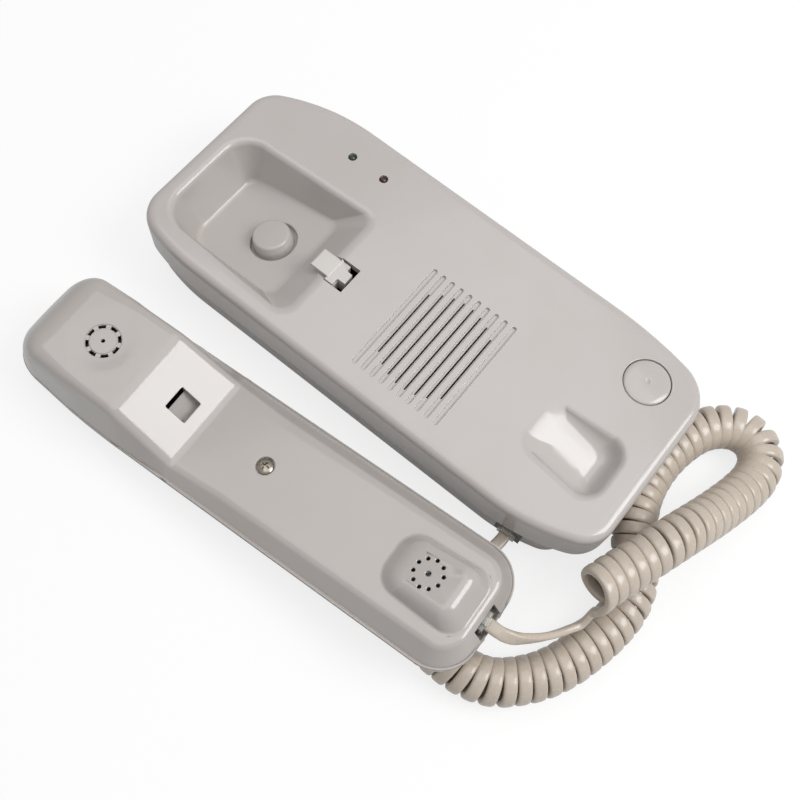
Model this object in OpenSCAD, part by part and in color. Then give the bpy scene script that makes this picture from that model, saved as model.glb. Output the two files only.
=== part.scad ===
// Slimline wall phone: a base unit with a cradle, a handset that lies beside it and the curly
// cord between them. The base lies on its back housing: X to the right, Y towards the earpiece
// end, Z away from the wall. The origin is the centre of the face that goes against the wall.

/* [Base] */
// Width of the base across its cover
base_w = 94; // [90:1:110]
// Length of the base
base_l = 218; // [212:1:240]
// Depth from the wall to the front face
base_d = 36; // [36:0.5:42]
// Height of the cover's side wall
skirt_h = 18; // [12:0.5:18]
// Thickness of the moulded walls
wall = 2.2; // [1.8:0.1:2.6]
// Rounding of the rim round the front face
rim_r = 4; // [2:0.5:5]
// Rounding of the corners seen from the front
corner_r = 14; // [10:0.5:18]
// Radius of the long curve into each corner
flank_r = 88; // [70:1:110]

/* [Back housing] */
// Distance of the housing's wall inside the cover's outline
back_inset = 3; // [2.6:0.1:4]
// Distance of the housing's lower end from the base's lower end
back_end_gap = 10.5; // [6:0.5:10.5]
// Thickness of the housing's floor
floor_t = 2.5; // [2:0.1:3.5]
// Height of the housing's wall
back_h = 22; // [20:0.5:24]
// Radius of the wall screw holes
wall_hole_r = 2.25; // [1.75:0.05:2.75]
// Spacing of the wall screw holes across
wall_hole_dx = 60; // [56:1:62]
// Spacing of the wall screw holes up and down
wall_hole_dy = 120; // [110:1:124]

/* [Cradle] */
// Middle of the cradle and of all that lines up with it
cradle_x = -12; // [-14:0.5:-8]
// Width of the earpiece recess at its rim
ear_w = 54; // [50:1:56]
// Length of the earpiece recess at its rim
ear_l = 66; // [62:1:68]
// Middle of the earpiece recess along the base
ear_y = 68; // [66:0.5:70]
// Depth of the earpiece recess at its lower end
ear_depth_low = 10.7; // [8:0.1:11.5]
// Slope of the recess floor, in degrees
ear_slope = 12.9; // [8:0.1:13]
// Width of the mouthpiece recess at its rim
mouth_w = 28; // [26:1:32]
// Length of the mouthpiece recess at its rim
mouth_l = 35.5; // [33:0.5:38]
// Middle of the mouthpiece recess along the base
mouth_y = -79.25; // [-81:0.25:-78]
// Depth of the mouthpiece recess
mouth_depth = 8.5; // [6:0.5:9]

/* [Grille] */
// Number of grooves
grooves = 10; // [6:1:10]
// Distance from one groove to the next
groove_pitch = 4.23; // [3.5:0.01:4.6]
// Length of a groove
groove_l = 51; // [44:1:54]
// Width of a groove
groove_w = 1.9; // [1.4:0.1:2.2]
// Radius of the round window that is slit through
window_r = 21.5; // [16:0.5:22]
// Middle of the grille along the base
grille_y = -16; // [-18:0.5:-14]

/* [Buttons and lamps] */
// Radius of the hook button
hook_button_r = 8.5; // [6:0.1:9]
// Gap round the hook button
hook_button_gap = 1.6; // [0.6:0.1:1.8]
// Travel of the hook button
hook_travel = 3.5; // [2:0.1:3.6]
// Radius of the call button
call_button_r = 9.1; // [7:0.1:9.5]
// Gap round the call button
call_button_gap = 0.3; // [0.2:0.05:0.5]
// Travel of the call button
call_travel = 1.8; // [1:0.1:2]
// Radius of a lamp
lamp_r = 1.5; // [1.4:0.05:1.6]
// Gap round a lamp
lamp_gap = 0.3; // [0.2:0.05:0.4]

/* [Handset] */
// Width of the handset
hs_w = 50.4; // [47:0.2:54]
// Length of the handset
hs_l = 213; // [213:1:222]
// Height of the seam between its shells
seam_z = 12; // [11:0.5:13]
// Height of the grip face below the earpiece
grip_z = 17.5; // [17:0.5:20]
// Height of the face at the mouthpiece end
mouth_end_z = 22; // [21:0.5:24]
// Height of the earpiece pad at its lower edge
ear_low_z = 34; // [32:0.5:36]
// Height of the earpiece pad at its top edge
ear_top_z = 38; // [36:0.5:40]
// Thickness of the handset shells
hs_wall = 2; // [1.8:0.1:2.4]
// How far the mouthpiece end is raised by the cord under it, in degrees
hs_tilt = 5.2; // [4.8:0.1:5.6]
// Turn of the handset away from the base, in degrees
hs_yaw = 2.8; // [2:0.1:3.2]

/* [Cord] */
// Width of the flat cord
cord_w = 4.6; // [4:0.1:4.6]
// Thickness of the flat cord
cord_t = 2.9; // [2.4:0.1:2.9]
// Outer diameter of the coil
coil_d = 17.5; // [14:0.1:17.5]
// Least space between neighbouring turns
turn_gap = 0.5; // [0.45:0.01:0.8]

/* [Hidden] */
$fn = 48;
hull_fn = 32;
eps = 0.01;
fit = 0.3;

// levels of the base
skirt_z = base_d - skirt_h;
face_in = base_d - wall;
board_z = 6.5;
board_t = 1.6;
board_top = board_z + board_t;

// the two curves of each corner: where the long one starts, and its radius
flank_low = base_l / 2 - 43;
flank_left = base_l / 2 - 33;
flank_right = base_l / 2 - 47;
flank_right_r = flank_r - 3;
// the corner beside the call button is fuller than the others
flank_call = base_l / 2 - 49;
flank_call_r = flank_r * 2 - 6;
call_corner_r = corner_r + 4;

// the earpiece recess
ear_floor_low = [ear_y - ear_l / 2 + 14.1, base_d - ear_depth_low];
ear_floor_l = 46.3;
ear_floor_w = 40;
ear_floor_mid = ear_floor_low + ear_floor_l / 2 * [cos(ear_slope), -sin(ear_slope)];
hook_button_y = 65.3;
hook_button_z = ear_floor_low[1] - (hook_button_y - ear_floor_low[0]) * tan(ear_slope);
hook_hole_r = hook_button_r + hook_button_gap;
tub_t = 2;

// the buttons
call_pos = [27.3, -86.5];
call_hole_r = call_button_r + call_button_gap;
flange_t = 1.5;
lamp_x = 31.8;
lamp_ys = [60.2, 44.2];

// places of the fasteners
cover_screw_at = [[-38, 26], [34, 82], [-36, -62], [38, -60]];
board_screw_at = [[-19, -88], [31, -44], [30, 16], [-19, 76]];
clamp_angles = [30, 150, 270];
clamp_post_r = 30;
speaker_r = 25;
wall_hole_y = 32;
wall_hole_at = [for (sx = [-1, 1], sy = [-1, 1])
    [sx * wall_hole_dx / 2, wall_hole_y + sy * wall_hole_dy / 2]];

// the retaining hook's lip
hook_w = 8.6;
hook_t = 1.7;

// the jacks and plugs
jack_y = -79;
jack_w = 11.2;
plug_w = 7.6;
plug_h = 6.6;
plug_fit = 0.15;
base_port_z = 9.9;

// the handset's own frame: X across, Y towards the earpiece, Z towards its face
hs_end = hs_l / 2;
hs_flat = 31;
hs_pos = [-86.4, 9.3, (hs_end - hs_flat) * sin(hs_tilt) + 0.05];
hs_corner = 15;
// the earpiece end draws in along a long arc to rounder corners
hs_ear_corner = 17;
hs_ear_flank = hs_end - 61.5;
hs_ear_flank_r = 350;
ridge_y = 46.2;
slope_low_y = 22;
pad_top_y = 88;
hs_ear_y = 66.5;
hs_mic_y = -79.6;
pad_tilt = atan((ear_top_z - ear_low_z) / (pad_top_y - ridge_y));
pad_z = ear_low_z + (hs_ear_y - ridge_y) * tan(pad_tilt);
slope_angle = atan((ear_low_z - grip_z) / (ridge_y - slope_low_y));
window_y = 31;
window_z = grip_z + (window_y - slope_low_y) * tan(slope_angle);
hs_screw_y = -6.9;
mic_pad_mid = -83;
mic_tilt = -11;
mic_pad_z = mouth_end_z + 4.6;
hs_port_z = 14.6;
hs_jack_y = -hs_end + 4;
tail_l = 5;
under_pad = hs_wall + 0.15;

// the cord
coil_r = (coil_d - cord_t) / 2;
coil_z = coil_d / 2 + 0.3;
coil_axis = [
    [-96, -80, coil_z], [-96.2, -88, coil_z], [-96, -95, coil_z], [-94.6, -102, coil_z],
    [-91.5, -108.5, coil_z],
    [-86, -114.5, coil_z], [-79, -120, coil_z], [-70, -124.5, coil_z], [-60, -127.5, coil_z],
    [-50, -129.5, coil_z], [-40, -130, coil_z], [-31, -128, coil_z], [-24, -124, coil_z],
    [-17, -119, coil_z], [-9, -114, coil_z], [0, -110.5, coil_z], [9, -109, coil_z],
    [18, -109, coil_z], [27, -110.5, coil_z], [36, -113.5, coil_z], [43, -118.5, coil_z],
    [47.5, -125.5, coil_z], [47.5, -133.5, coil_z], [42.5, -139.5, coil_z],
    [34, -141.5, coil_z + 0.5], [24, -140, 12], [13, -137, 16], [2, -133.5, 21],
    [-8, -130, 25.5], [-18, -126.5, 28], [-28, -123, 27.5], [-35.5, -120, 26], [-42, -117.5, 24.5]
];
base_lead_path = [
    [-49, -79, base_port_z], [-53, -78.6, 9.8], [-57, -78.2, 8.8], [-61, -78, 6.8],
    [-65, -78.2, 4.6], [-69, -78.6, 2.9], [-74, -79.2, 2.1], [-80, -79.8, 1.9], [-86, -80.2, 1.8]
];
handset_lead_path = [
    [-53.0, -119, 14.1], [-56.3, -117.4, 13.8], [-60.8, -115, 15.8], [-65.2, -112.4, 18.8],
    [-69.4, -109.6, 21.8], [-73.2, -106.8, 25], [-76.6, -103.8, 28]
];
curl_rings = 8;
step_per_span = 12;
straight_end = 4.8;
peel_turns = 0.4;
peel_l = 6;

// ---------------------------------------------------------------- helpers

function arc_points(c, r, a0, a1, n, first = 0) =
    [for (i = [first:n]) c + r * [cos(a0 + (a1 - a0) * i / n), sin(a0 + (a1 - a0) * i / n)]];
function rev(l) = [for (i = [len(l) - 1:-1:0]) l[i]];
function flip(l, sx, sy) = [for (p = l) [sx * p[0], sy * p[1]]];

// One corner: a long curve of radius big leaves the side at y0 and a short one of radius
// small turns it on to the end at y_end.
function corner(half, y0, big, small, y_end) =
    let (dy = y_end - small - y0, dx = sqrt(pow(big - small, 2) - dy * dy),
         a = atan2(dy, dx))
    concat(arc_points([half - big, y0], big, 0, a, 5),
           arc_points([half - big + dx, y_end - small], small, a, 90, 6, 1));

// The base's outline, drawn in by d, with its lower end at -low
function base_outline(d, low) =
    let (h = base_w / 2 - d, top = base_l / 2 - d, r = corner_r - d)
    concat(
        corner(h, flank_right, flank_right_r - d, r, top),
        rev(flip(corner(h, flank_left, flank_r - d, r, top), -1, 1)),
        flip(corner(h, flank_low, flank_r - d, r, low - d), -1, -1),
        rev(flip(corner(h, flank_call, flank_call_r - d, call_corner_r - d, low - d), 1, -1)));

module plate(points, t) {
    linear_extrude(t) polygon(points);
}

// A flat rectangle with round corners, centred
module round_plate(w, l, r, t, fn = hull_fn) {
    linear_extrude(t)
        polygon([for (q = [0:3]) each arc_points(
            [(q == 0 || q == 3 ? 1 : -1) * (w / 2 - r), (q < 2 ? 1 : -1) * (l / 2 - r)],
            r, q * 90, q * 90 + 90, fn / 8)]);
}

module box(x0, x1, y0, y1, z0, z1) {
    translate([x0, y0, z0]) cube([x1 - x0, y1 - y0, z1 - z0]);
}

module tube(r_out, r_in, h) {
    difference() {
        cylinder(r = r_out, h = h);
        translate([0, 0, -1]) cylinder(r = r_in, h = h + 2);
    }
}

// A pan head screw, its head's underside at z = 0 and its shank downwards
module screw(head_r, head_h, shank_r, shank_l) {
    difference() {
        union() {
            cylinder(r = head_r, h = head_h);
            translate([0, 0, -shank_l]) cylinder(r = shank_r, h = shank_l + eps);
        }
        for (a = [0, 90])
            rotate([0, 0, a]) translate([-head_r * 0.6, -head_r * 0.12, head_h * 0.45])
                cube([head_r * 1.2, head_r * 0.24, head_h]);
    }
}

module on_recess_floor() {
    translate([cradle_x, hook_button_y, hook_button_z]) rotate([-ear_slope, 0, 0]) children();
}

module in_handset() {
    translate(hs_pos) rotate([-hs_tilt, 0, hs_yaw]) children();
}

// ---------------------------------------------------------------- base

// The cover's outer form, with its soft rim
module cover_form() {
    hull() {
        for (a = [0:30:90])
            translate([0, 0, skirt_z])
                plate(base_outline(rim_r * (1 - cos(a)), base_l / 2), skirt_h - rim_r * (1 - sin(a)));
    }
}

module ear_form(grow) {
    hull() {
        translate([cradle_x, ear_y, base_d - (grow > 0 ? 1 : 0)])
            round_plate(ear_w + 2 * grow, ear_l + 2 * grow, 12 + grow, eps + (grow > 0 ? 0 : 1));
        translate([cradle_x, ear_floor_mid[0], ear_floor_mid[1]]) rotate([-ear_slope, 0, 0])
            translate([0, 0, -grow])
                round_plate(ear_floor_w + grow, ear_floor_l + grow, 5 + grow / 2, eps);
    }
}

module mouth_form(grow) {
    hull() {
        translate([cradle_x, mouth_y, base_d - (grow > 0 ? 1 : 0)])
            round_plate(mouth_w + 2 * grow, mouth_l + 2 * grow, 9 + grow, eps + (grow > 0 ? 0 : 1));
        translate([cradle_x, mouth_y - mouth_l / 2 + 9.5, base_d - mouth_depth - grow])
            round_plate(15 + grow, 7 + grow, 3, eps);
        translate([cradle_x, mouth_y + mouth_l / 2 - 10, base_d - mouth_depth / 2 - grow])
            round_plate(15 + grow, 4 + grow, 1.9, eps);
    }
}

module groove(l, w, d) {
    for (sx = [-1, 1])
        translate([sx * (l - w) / 2, 0, 0]) cylinder(r = w / 2, h = d, $fn = 24);
    translate([-(l - w) / 2, -w / 2, 0]) cube([l - w, w, d]);
}

module front_cover() color([0.79, 0.77, 0.75]) difference() {
    union() {
        difference() {
            cover_form();
            translate([0, 0, skirt_z - 1])
                plate(base_outline(wall, base_l / 2), skirt_h - rim_r + 1);
            translate([0, 0, base_d - rim_r - eps])
                plate(base_outline(wall + 1.2, base_l / 2), rim_r - wall + eps);
        }
        ear_form(tub_t);
        mouth_form(tub_t);
        for (p = cover_screw_at) translate([p[0], p[1], 20.2])
            cylinder(r = 3.4, h = face_in - 20.2 + eps);
        translate([cradle_x, grille_y, face_in - 2.1]) tube(speaker_r + 2, speaker_r + fit, 2.1 + eps);
        for (a = clamp_angles)
            translate([cradle_x, grille_y, 0]) rotate([0, 0, a])
                translate([clamp_post_r, 0, face_in - 2.2]) cylinder(r = 3, h = 2.2 + eps);
        translate([call_pos[0], call_pos[1], face_in - 6])
            tube(call_hole_r + 3.4, call_hole_r + 1.9, 6 + eps);
        on_recess_floor() translate([0, 0, -tub_t - 5])
            tube(hook_hole_r + 3.2, hook_hole_r + 1.7, 5.4);
        box(cradle_x - 7.8, cradle_x + 7.8, 23.6, 35.4, 27, face_in + eps);
    }
    ear_form(0);
    mouth_form(0);
    on_recess_floor() translate([0, 0, -tub_t - 3]) cylinder(r = hook_hole_r, h = tub_t + 8);
    on_recess_floor() translate([0, 0, -tub_t - 5.5]) cylinder(r = hook_hole_r + 1.7, h = 5.5 - 0.1);
    for (i = [0:grooves - 1]) {
        y = (i - (grooves - 1) / 2) * groove_pitch;
        translate([cradle_x, grille_y + y, base_d - 0.8]) groove(groove_l, groove_w, 2);
        if (abs(y) < window_r - 4)
            translate([cradle_x, grille_y + y, face_in - 1])
                groove(2 * sqrt(pow(window_r, 2) - y * y), 1, wall + 2);
    }
    for (y = lamp_ys) translate([lamp_x, y, face_in - 1]) cylinder(r = lamp_r + lamp_gap, h = wall + 2);
    translate([call_pos[0], call_pos[1], face_in - 1]) cylinder(r = call_hole_r, h = wall + 2);
    for (p = cover_screw_at) translate([p[0], p[1], 20]) cylinder(r = 1.5, h = 11);
    for (a = clamp_angles)
        translate([cradle_x, grille_y, 0]) rotate([0, 0, a])
            translate([clamp_post_r, 0, face_in - 3]) cylinder(r = 1.1, h = 4);
    // pocket of the handset hook, and the notch that its lip lies in
    box(cradle_x - 6, cradle_x + 6, 25.2, 33.8, 28.5, base_d + 1);
    box(cradle_x - hook_w / 2 - fit, cradle_x + hook_w / 2 + fit, 33.7, ear_y - ear_l / 2 + 3,
        base_d + 0.9 - hook_t - 0.3 - fit, base_d + 1);
    // notch over the base jack
    box(-base_w / 2 - 1, -base_w / 2 + 4, jack_y - 7, jack_y + 7, skirt_z - 1, skirt_z + 1.5);
}

module back_housing() color([0.74, 0.72, 0.70]) {
    low = base_l / 2 - back_end_gap + back_inset;
    difference() {
        union() {
            difference() {
                plate(base_outline(back_inset, low), back_h);
                translate([0, 0, floor_t]) plate(base_outline(back_inset + 2, low), back_h);
            }
            for (p = cover_screw_at) translate([p[0], p[1], 0]) cylinder(r = 4.2, h = 20);
            for (p = board_screw_at) translate([p[0], p[1], 0]) cylinder(r = 3, h = board_z);
        }
        for (p = cover_screw_at) translate([p[0], p[1], -1]) {
            cylinder(r = 1.7, h = 22);
            cylinder(r = 3.3, h = 4.5);
        }
        for (p = board_screw_at) translate([p[0], p[1], 3]) cylinder(r = 1.1, h = 4);
        for (p = wall_hole_at) translate([p[0], p[1], -1]) cylinder(r = wall_hole_r, h = floor_t + 2);
        // cable inlet
        box(-40, -27, -10, 18, -1, floor_t + 1);
        // port of the base jack
        box(-base_w / 2, -base_w / 2 + back_inset + 6, jack_y - jack_w / 2 - fit,
            jack_y + jack_w / 2 + fit, floor_t, 16.5);
    }
}

module cover_screws() color([0.62, 0.62, 0.60])
    for (p = cover_screw_at) translate([p[0], p[1], 3.5]) rotate([180, 0, 0])
        screw(2.9, 2, 1.5, 25);

module circuit_board() color([0.16, 0.38, 0.22]) difference() {
    translate([0, 0, board_z])
        plate([[-24, -92], [34, -92], [36, -90], [36, 68], [2, 68], [2, 80], [-24, 80]], board_t);
    for (p = cover_screw_at) translate([p[0], p[1], board_z - 1]) cylinder(r = 5, h = 4);
    for (p = wall_hole_at) translate([p[0], p[1], board_z - 1]) cylinder(r = 5, h = 4);
    for (p = board_screw_at) translate([p[0], p[1], board_z - 1]) cylinder(r = 1.3, h = 4);
}

module board_screws() color([0.62, 0.62, 0.60])
    for (p = board_screw_at) translate([p[0], p[1], board_top]) screw(2.6, 1.8, 1.1, 5);

module board_parts() color([0.20, 0.20, 0.22]) translate([0, 0, board_top]) {
    for (p = [[-12, -60, 4], [-2, -60, 4], [14, -50, 3.2], [-12, 34, 3.2], [20, 2, 2.5]])
        translate([p[0], p[1], 0]) cylinder(r = p[2], h = 2.4 * p[2]);
    box(6, 20, -32, -18, 0, 10);
    for (p = [[-6, -84], [10, -70], [8, 30], [22, 30]])
        box(p[0] - 5, p[0] + 5, p[1] - 3.2, p[1] + 3.2, 0, 3.4);
}

module terminal_block() color([0.30, 0.55, 0.34]) difference() {
    box(-23.5, -13.5, -11, 19, board_top, board_top + 9);
    for (i = [0:5]) translate([-18.5, -8.5 + i * 5, board_top + 4]) cylinder(r = 1.9, h = 6);
    for (i = [0:5]) box(-24, -19.5, -10 + i * 5, -7 + i * 5, board_top + 1, board_top + 4);
}

module terminal_screws() color([0.75, 0.74, 0.70])
    for (i = [0:5]) translate([-18.5, -8.5 + i * 5, board_top + 6.5])
        screw(1.75, 1.4, 1.1, 2.5);

module speaker() color([0.28, 0.28, 0.30]) translate([cradle_x, grille_y, 0]) difference() {
    union() {
        translate([0, 0, face_in - 2.2]) cylinder(r = speaker_r, h = 1.8);
        translate([0, 0, face_in - 8.5]) cylinder(r1 = 15, r2 = 21.5, h = 6.4);
        translate([0, 0, face_in - 13]) cylinder(r = 14, h = 5);
    }
    translate([0, 0, face_in - 5]) cylinder(r1 = 8, r2 = 21, h = 5);
}

module speaker_gasket() color([0.12, 0.12, 0.12])
    translate([cradle_x, grille_y, face_in - 0.4]) tube(speaker_r - 0.2, window_r + 0.6, 0.4);

module speaker_clamps() color([0.72, 0.72, 0.70])
    translate([cradle_x, grille_y, 0]) for (a = clamp_angles) rotate([0, 0, a]) difference() {
        box(22, clamp_post_r + 4, -3, 3, face_in - 3.6, face_in - 2.2);
        translate([clamp_post_r, 0, face_in - 5]) cylinder(r = 1.3, h = 4);
    }

module speaker_screws() color([0.62, 0.62, 0.60])
    translate([cradle_x, grille_y, 0]) for (a = clamp_angles) rotate([0, 0, a])
        translate([clamp_post_r, 0, face_in - 3.6]) rotate([180, 0, 0]) screw(2.6, 1.8, 1.1, 3.4);

// A lamp with its collar and its two legs
module lamp(y) {
    translate([lamp_x, y, 0]) {
        translate([0, 0, base_d - 6]) cylinder(r = lamp_r, h = 5.2);
        translate([0, 0, base_d - 1.4]) sphere(r = lamp_r);
        translate([0, 0, base_d - 6.4]) cylinder(r = lamp_r + 0.4, h = 0.9);
        for (sx = [-1, 1])
            translate([sx * 0.8 - 0.25, -0.25, board_top]) cube([0.5, 0.5, base_d - 6.2 - board_top]);
    }
}

module green_lamp() color([0.42, 0.50, 0.42]) lamp(lamp_ys[0]);

module red_lamp() color([0.45, 0.26, 0.24]) lamp(lamp_ys[1]);

module lamp_spacers() color([0.85, 0.84, 0.80])
    for (y = lamp_ys) translate([lamp_x, y, board_top])
        tube(lamp_r + 1, lamp_r - 0.1, base_d - 6.5 - board_top);

// ---------------------------------------------------------------- moving pieces of the base

module hook_button() color([0.78, 0.76, 0.74]) on_recess_floor() {
    translate([0, 0, -tub_t - 0.3]) cylinder(r = hook_button_r, h = tub_t + 3.5);
    translate([0, 0, 3.1]) intersection() {
        translate([0, 0, -27]) sphere(r = 28.4);
        cylinder(r = hook_button_r, h = 4);
    }
    translate([0, 0, -tub_t - 0.3 - flange_t]) cylinder(r = hook_hole_r + 1.4, h = flange_t);
    translate([0, 0, -tub_t - 6.6]) cylinder(r = 3, h = 6);
}

module hook_switch() color([0.15, 0.15, 0.16])
    box(cradle_x - 7, cradle_x + 7, hook_button_y - 10.5, hook_button_y + 6, board_top, board_top + 0.8);

module hook_button_spring() color([0.70, 0.70, 0.68]) on_recess_floor()
    translate([0, 0, -tub_t - 9.5]) tube(5.2, 4, 7.7);

module call_button() color([0.79, 0.77, 0.75]) translate([call_pos[0], call_pos[1], 0]) {
    translate([0, 0, face_in - 0.5]) cylinder(r = call_button_r, h = wall + 0.3);
    translate([0, 0, base_d - 0.3]) intersection() {
        translate([0, 0, -68]) sphere(r = 68.6);
        cylinder(r = call_button_r, h = 2);
    }
    translate([0, 0, face_in - 2]) cylinder(r = call_hole_r + 1.6, h = flange_t + 0.2);
    translate([0, 0, board_top + 8.3]) cylinder(r = 3, h = face_in - 2 - board_top - 8.2);
}

module call_button_spring() color([0.70, 0.70, 0.68])
    translate([call_pos[0], call_pos[1], board_top + 4]) tube(4.7, 3.7, face_in - 2.1 - board_top - 4);

module call_switch() color([0.15, 0.15, 0.16]) translate([call_pos[0], call_pos[1], board_top]) {
    translate([-5.5, -5.5, 0]) cube([11, 11, 4]);
    cylinder(r = 3, h = 6.2);
}

// The retaining hook: a flush insert, a lip that stands out over the recess and a leg
module handset_hook() color([0.84, 0.83, 0.80]) {
    hook_top = base_d + 0.9;
    translate([cradle_x - 5.7, 0, 0]) rotate([90, 0, 90]) linear_extrude(11.4)
        polygon([[29.4, 28.8], [29.4, base_d - 0.2], [30.6, base_d + 0.3], [33.5, base_d + 0.3],
            [33.5, 28.8]]);
    translate([cradle_x - hook_w / 2, 0, 0]) rotate([90, 0, 90]) linear_extrude(hook_w)
        polygon([[32, base_d + 0.2], [33.4, hook_top], [41.8, hook_top], [41.8, hook_top - hook_t],
            [34.2, hook_top - hook_t], [33.4, hook_top - hook_t - 0.3], [32, hook_top - hook_t - 0.3]]);
    box(cradle_x - 2.4, cradle_x + 2.4, 26, 29.5, 28.8, 34.6);
}

// ---------------------------------------------------------------- jacks and plugs

// A modular jack: its port opens towards +X and its face is at x = 0
module jack(depth, low, high) difference() {
    box(-depth, 0, -jack_w / 2, jack_w / 2, low, high);
    box(-depth + 2, 1, -plug_w / 2 - plug_fit, plug_w / 2 + plug_fit,
        -plug_h / 2 - plug_fit, plug_h / 2 + plug_fit);
}

// A modular plug on the same axes, pushed in up to x = -10; its tail and latch stand outside
module plug() {
    box(-10, 4, -plug_w / 2, plug_w / 2, -plug_h / 2, plug_h / 2 - 1.4);
    box(-10, -1, -plug_w / 2, plug_w / 2, -plug_h / 2, plug_h / 2);
    box(-1.5, 3.4, -1.6, 1.6, plug_h / 2 - 1.5, plug_h / 2 - 0.2);
    box(3.5, tail_l, -cord_w / 2, cord_w / 2, -cord_t / 2, cord_t / 2);
}

module at_base_jack() translate([-base_w / 2 + back_inset + 0.2, jack_y, base_port_z])
    rotate([0, 0, 180]) children();

module at_handset_jack() in_handset()
    translate([0, hs_jack_y, hs_port_z]) rotate([0, 0, -90]) children();

module base_jack() color([0.13, 0.13, 0.14]) at_base_jack() jack(13, floor_t - base_port_z, 5.6);

module base_plug() color([0.86, 0.85, 0.80, 0.8]) at_base_jack() plug();

module handset_jack() color([0.13, 0.13, 0.14]) at_handset_jack() jack(12.5, 9.5 - hs_port_z, 4.1);

module handset_plug() color([0.86, 0.85, 0.80, 0.8]) at_handset_jack() plug();

// ---------------------------------------------------------------- handset

module hs_layer(w, y0, y1, z, r) {
    translate([0, (y0 + y1) / 2, z]) round_plate(w, y1 - y0, r, eps);
}

// A layer of the whole handset, narrower towards the earpiece end
module hs_ring(w, y0, y1, z, r, ear_r) {
    flank = corner(w / 2, hs_ear_flank, hs_ear_flank_r, ear_r, y1);
    low = concat(arc_points([-w / 2 + r, y0 + r], r, 180, 270, 6),
        arc_points([w / 2 - r, y0 + r], r, 270, 360, 6));
    translate([0, 0, z]) plate(concat(flank, rev(flip(flank, -1, 1)), low), eps);
}

// The front shell's form drawn in by d: grip, earpiece block and mouthpiece pad
module hs_front_form(d) {
    top = mouth_end_z - d;
    hull() {
        hs_ring(hs_w - 2 * d, -hs_end + d, hs_end - d, seam_z - (d > 0 ? 1 : 0), hs_corner - d,
            hs_ear_corner - d);
        translate([0, slope_low_y, grip_z - d])
            rotate([-atan((mouth_end_z - grip_z) / (hs_end - 5 + slope_low_y)), 0, 0])
                translate([-20 + d, -hs_end + 5 + d - slope_low_y, 0])
                    cube([40 - 2 * d, hs_end - 5 - d + slope_low_y, eps]);
    }
    hull() {
        hs_ring(hs_w - 2 * d, slope_low_y - 8, hs_end - d, seam_z - (d > 0 ? 1 : 0), hs_corner - d,
            hs_ear_corner - d);
        translate([0, 0, -d]) {
            hs_layer(40 - 2 * d, slope_low_y + d / 2, slope_low_y + 6, grip_z, 2.5);
            translate([0, ridge_y + d / 2, ear_low_z]) rotate([pad_tilt, 0, 0])
                translate([0, (pad_top_y - ridge_y - d) / 2, 0])
                    round_plate(39 - 2 * d, pad_top_y - ridge_y - d, 3.5, eps);
        }
    }
}

module hs_mouth_pad(d) {
    hull() {
        translate([0, mic_pad_mid, mouth_end_z - 3 - d]) round_plate(26 - 2 * d, 36 - 2 * d, 8 - d, eps);
        translate([0, mic_pad_mid + 1, mic_pad_z + 0.4 - d]) rotate([mic_tilt, 0, 0])
            round_plate(16 - 2 * d, 22 - 2 * d, 5 - d, eps);
    }
}

module hs_back_form(d) {
    hull() {
        hs_ring(hs_w - 2 * d, -hs_end + d, hs_end - d, seam_z - (d > 0 ? -1 : eps), hs_corner - d,
            hs_ear_corner - d);
        hs_ring(hs_w - 2 - 2 * d, -hs_end + 1.5 + d, hs_end - 1.5 - d, 7 + d / 2, hs_corner - d,
            hs_ear_corner - d);
        hs_layer(34 - 1.4 * d, -hs_end + hs_flat + d, hs_end - hs_flat - d, d, 10 - d);
    }
}

module on_ear_pad() translate([0, hs_ear_y, pad_z]) rotate([pad_tilt, 0, 0]) children();

module on_mouth_pad() translate([0, hs_mic_y, mic_pad_z]) rotate([mic_tilt, 0, 0]) children();

module handset_front_shell() color([0.73, 0.71, 0.69]) in_handset() difference() {
    union() {
        difference() {
            union() {
                hs_front_form(0);
                hs_mouth_pad(0);
            }
            hs_front_form(hs_wall);
            hs_mouth_pad(hs_wall);
        }
        translate([0, hs_screw_y, seam_z + 0.1]) cylinder(r = 4.6, h = grip_z - seam_z);
        on_ear_pad() translate([0, 0, -hs_wall - 6]) tube(17.6, 16.2, 6.5);
        on_mouth_pad() translate([0, 0, -hs_wall - 5]) tube(7.3, 6.1, 5.5);
    }
    translate([0, hs_screw_y, 0]) {
        cylinder(r = 1.7, h = 30);
        translate([0, 0, grip_z - 1.8]) cylinder(r = 3.5, h = 8);
    }
    for (i = [0:7]) on_ear_pad() rotate([0, 0, i * 45]) translate([-1.6, 5.1, -4]) cube([3.2, 1.4, 6]);
    on_ear_pad() translate([0, 0, -4]) cylinder(r = 0.8, h = 6, $fn = 24);
    for (i = [0:9]) on_mouth_pad() rotate([0, 0, i * 36]) translate([5.5, 0, -5])
        cylinder(r = 0.75, h = 8, $fn = 24);
    on_mouth_pad() translate([0, 0, -5]) cylinder(r = 1, h = 8, $fn = 24);
    // window for the base's hook
    translate([0, window_y, window_z]) rotate([slope_angle, 0, 0])
        translate([-4.8, -4.7, -4]) cube([9.6, 9.4, 6]);
    // opening over the jack
    box(-6, 6, -hs_end - 1, -hs_end + 8.5, seam_z - 1, 18.9);
}

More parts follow.
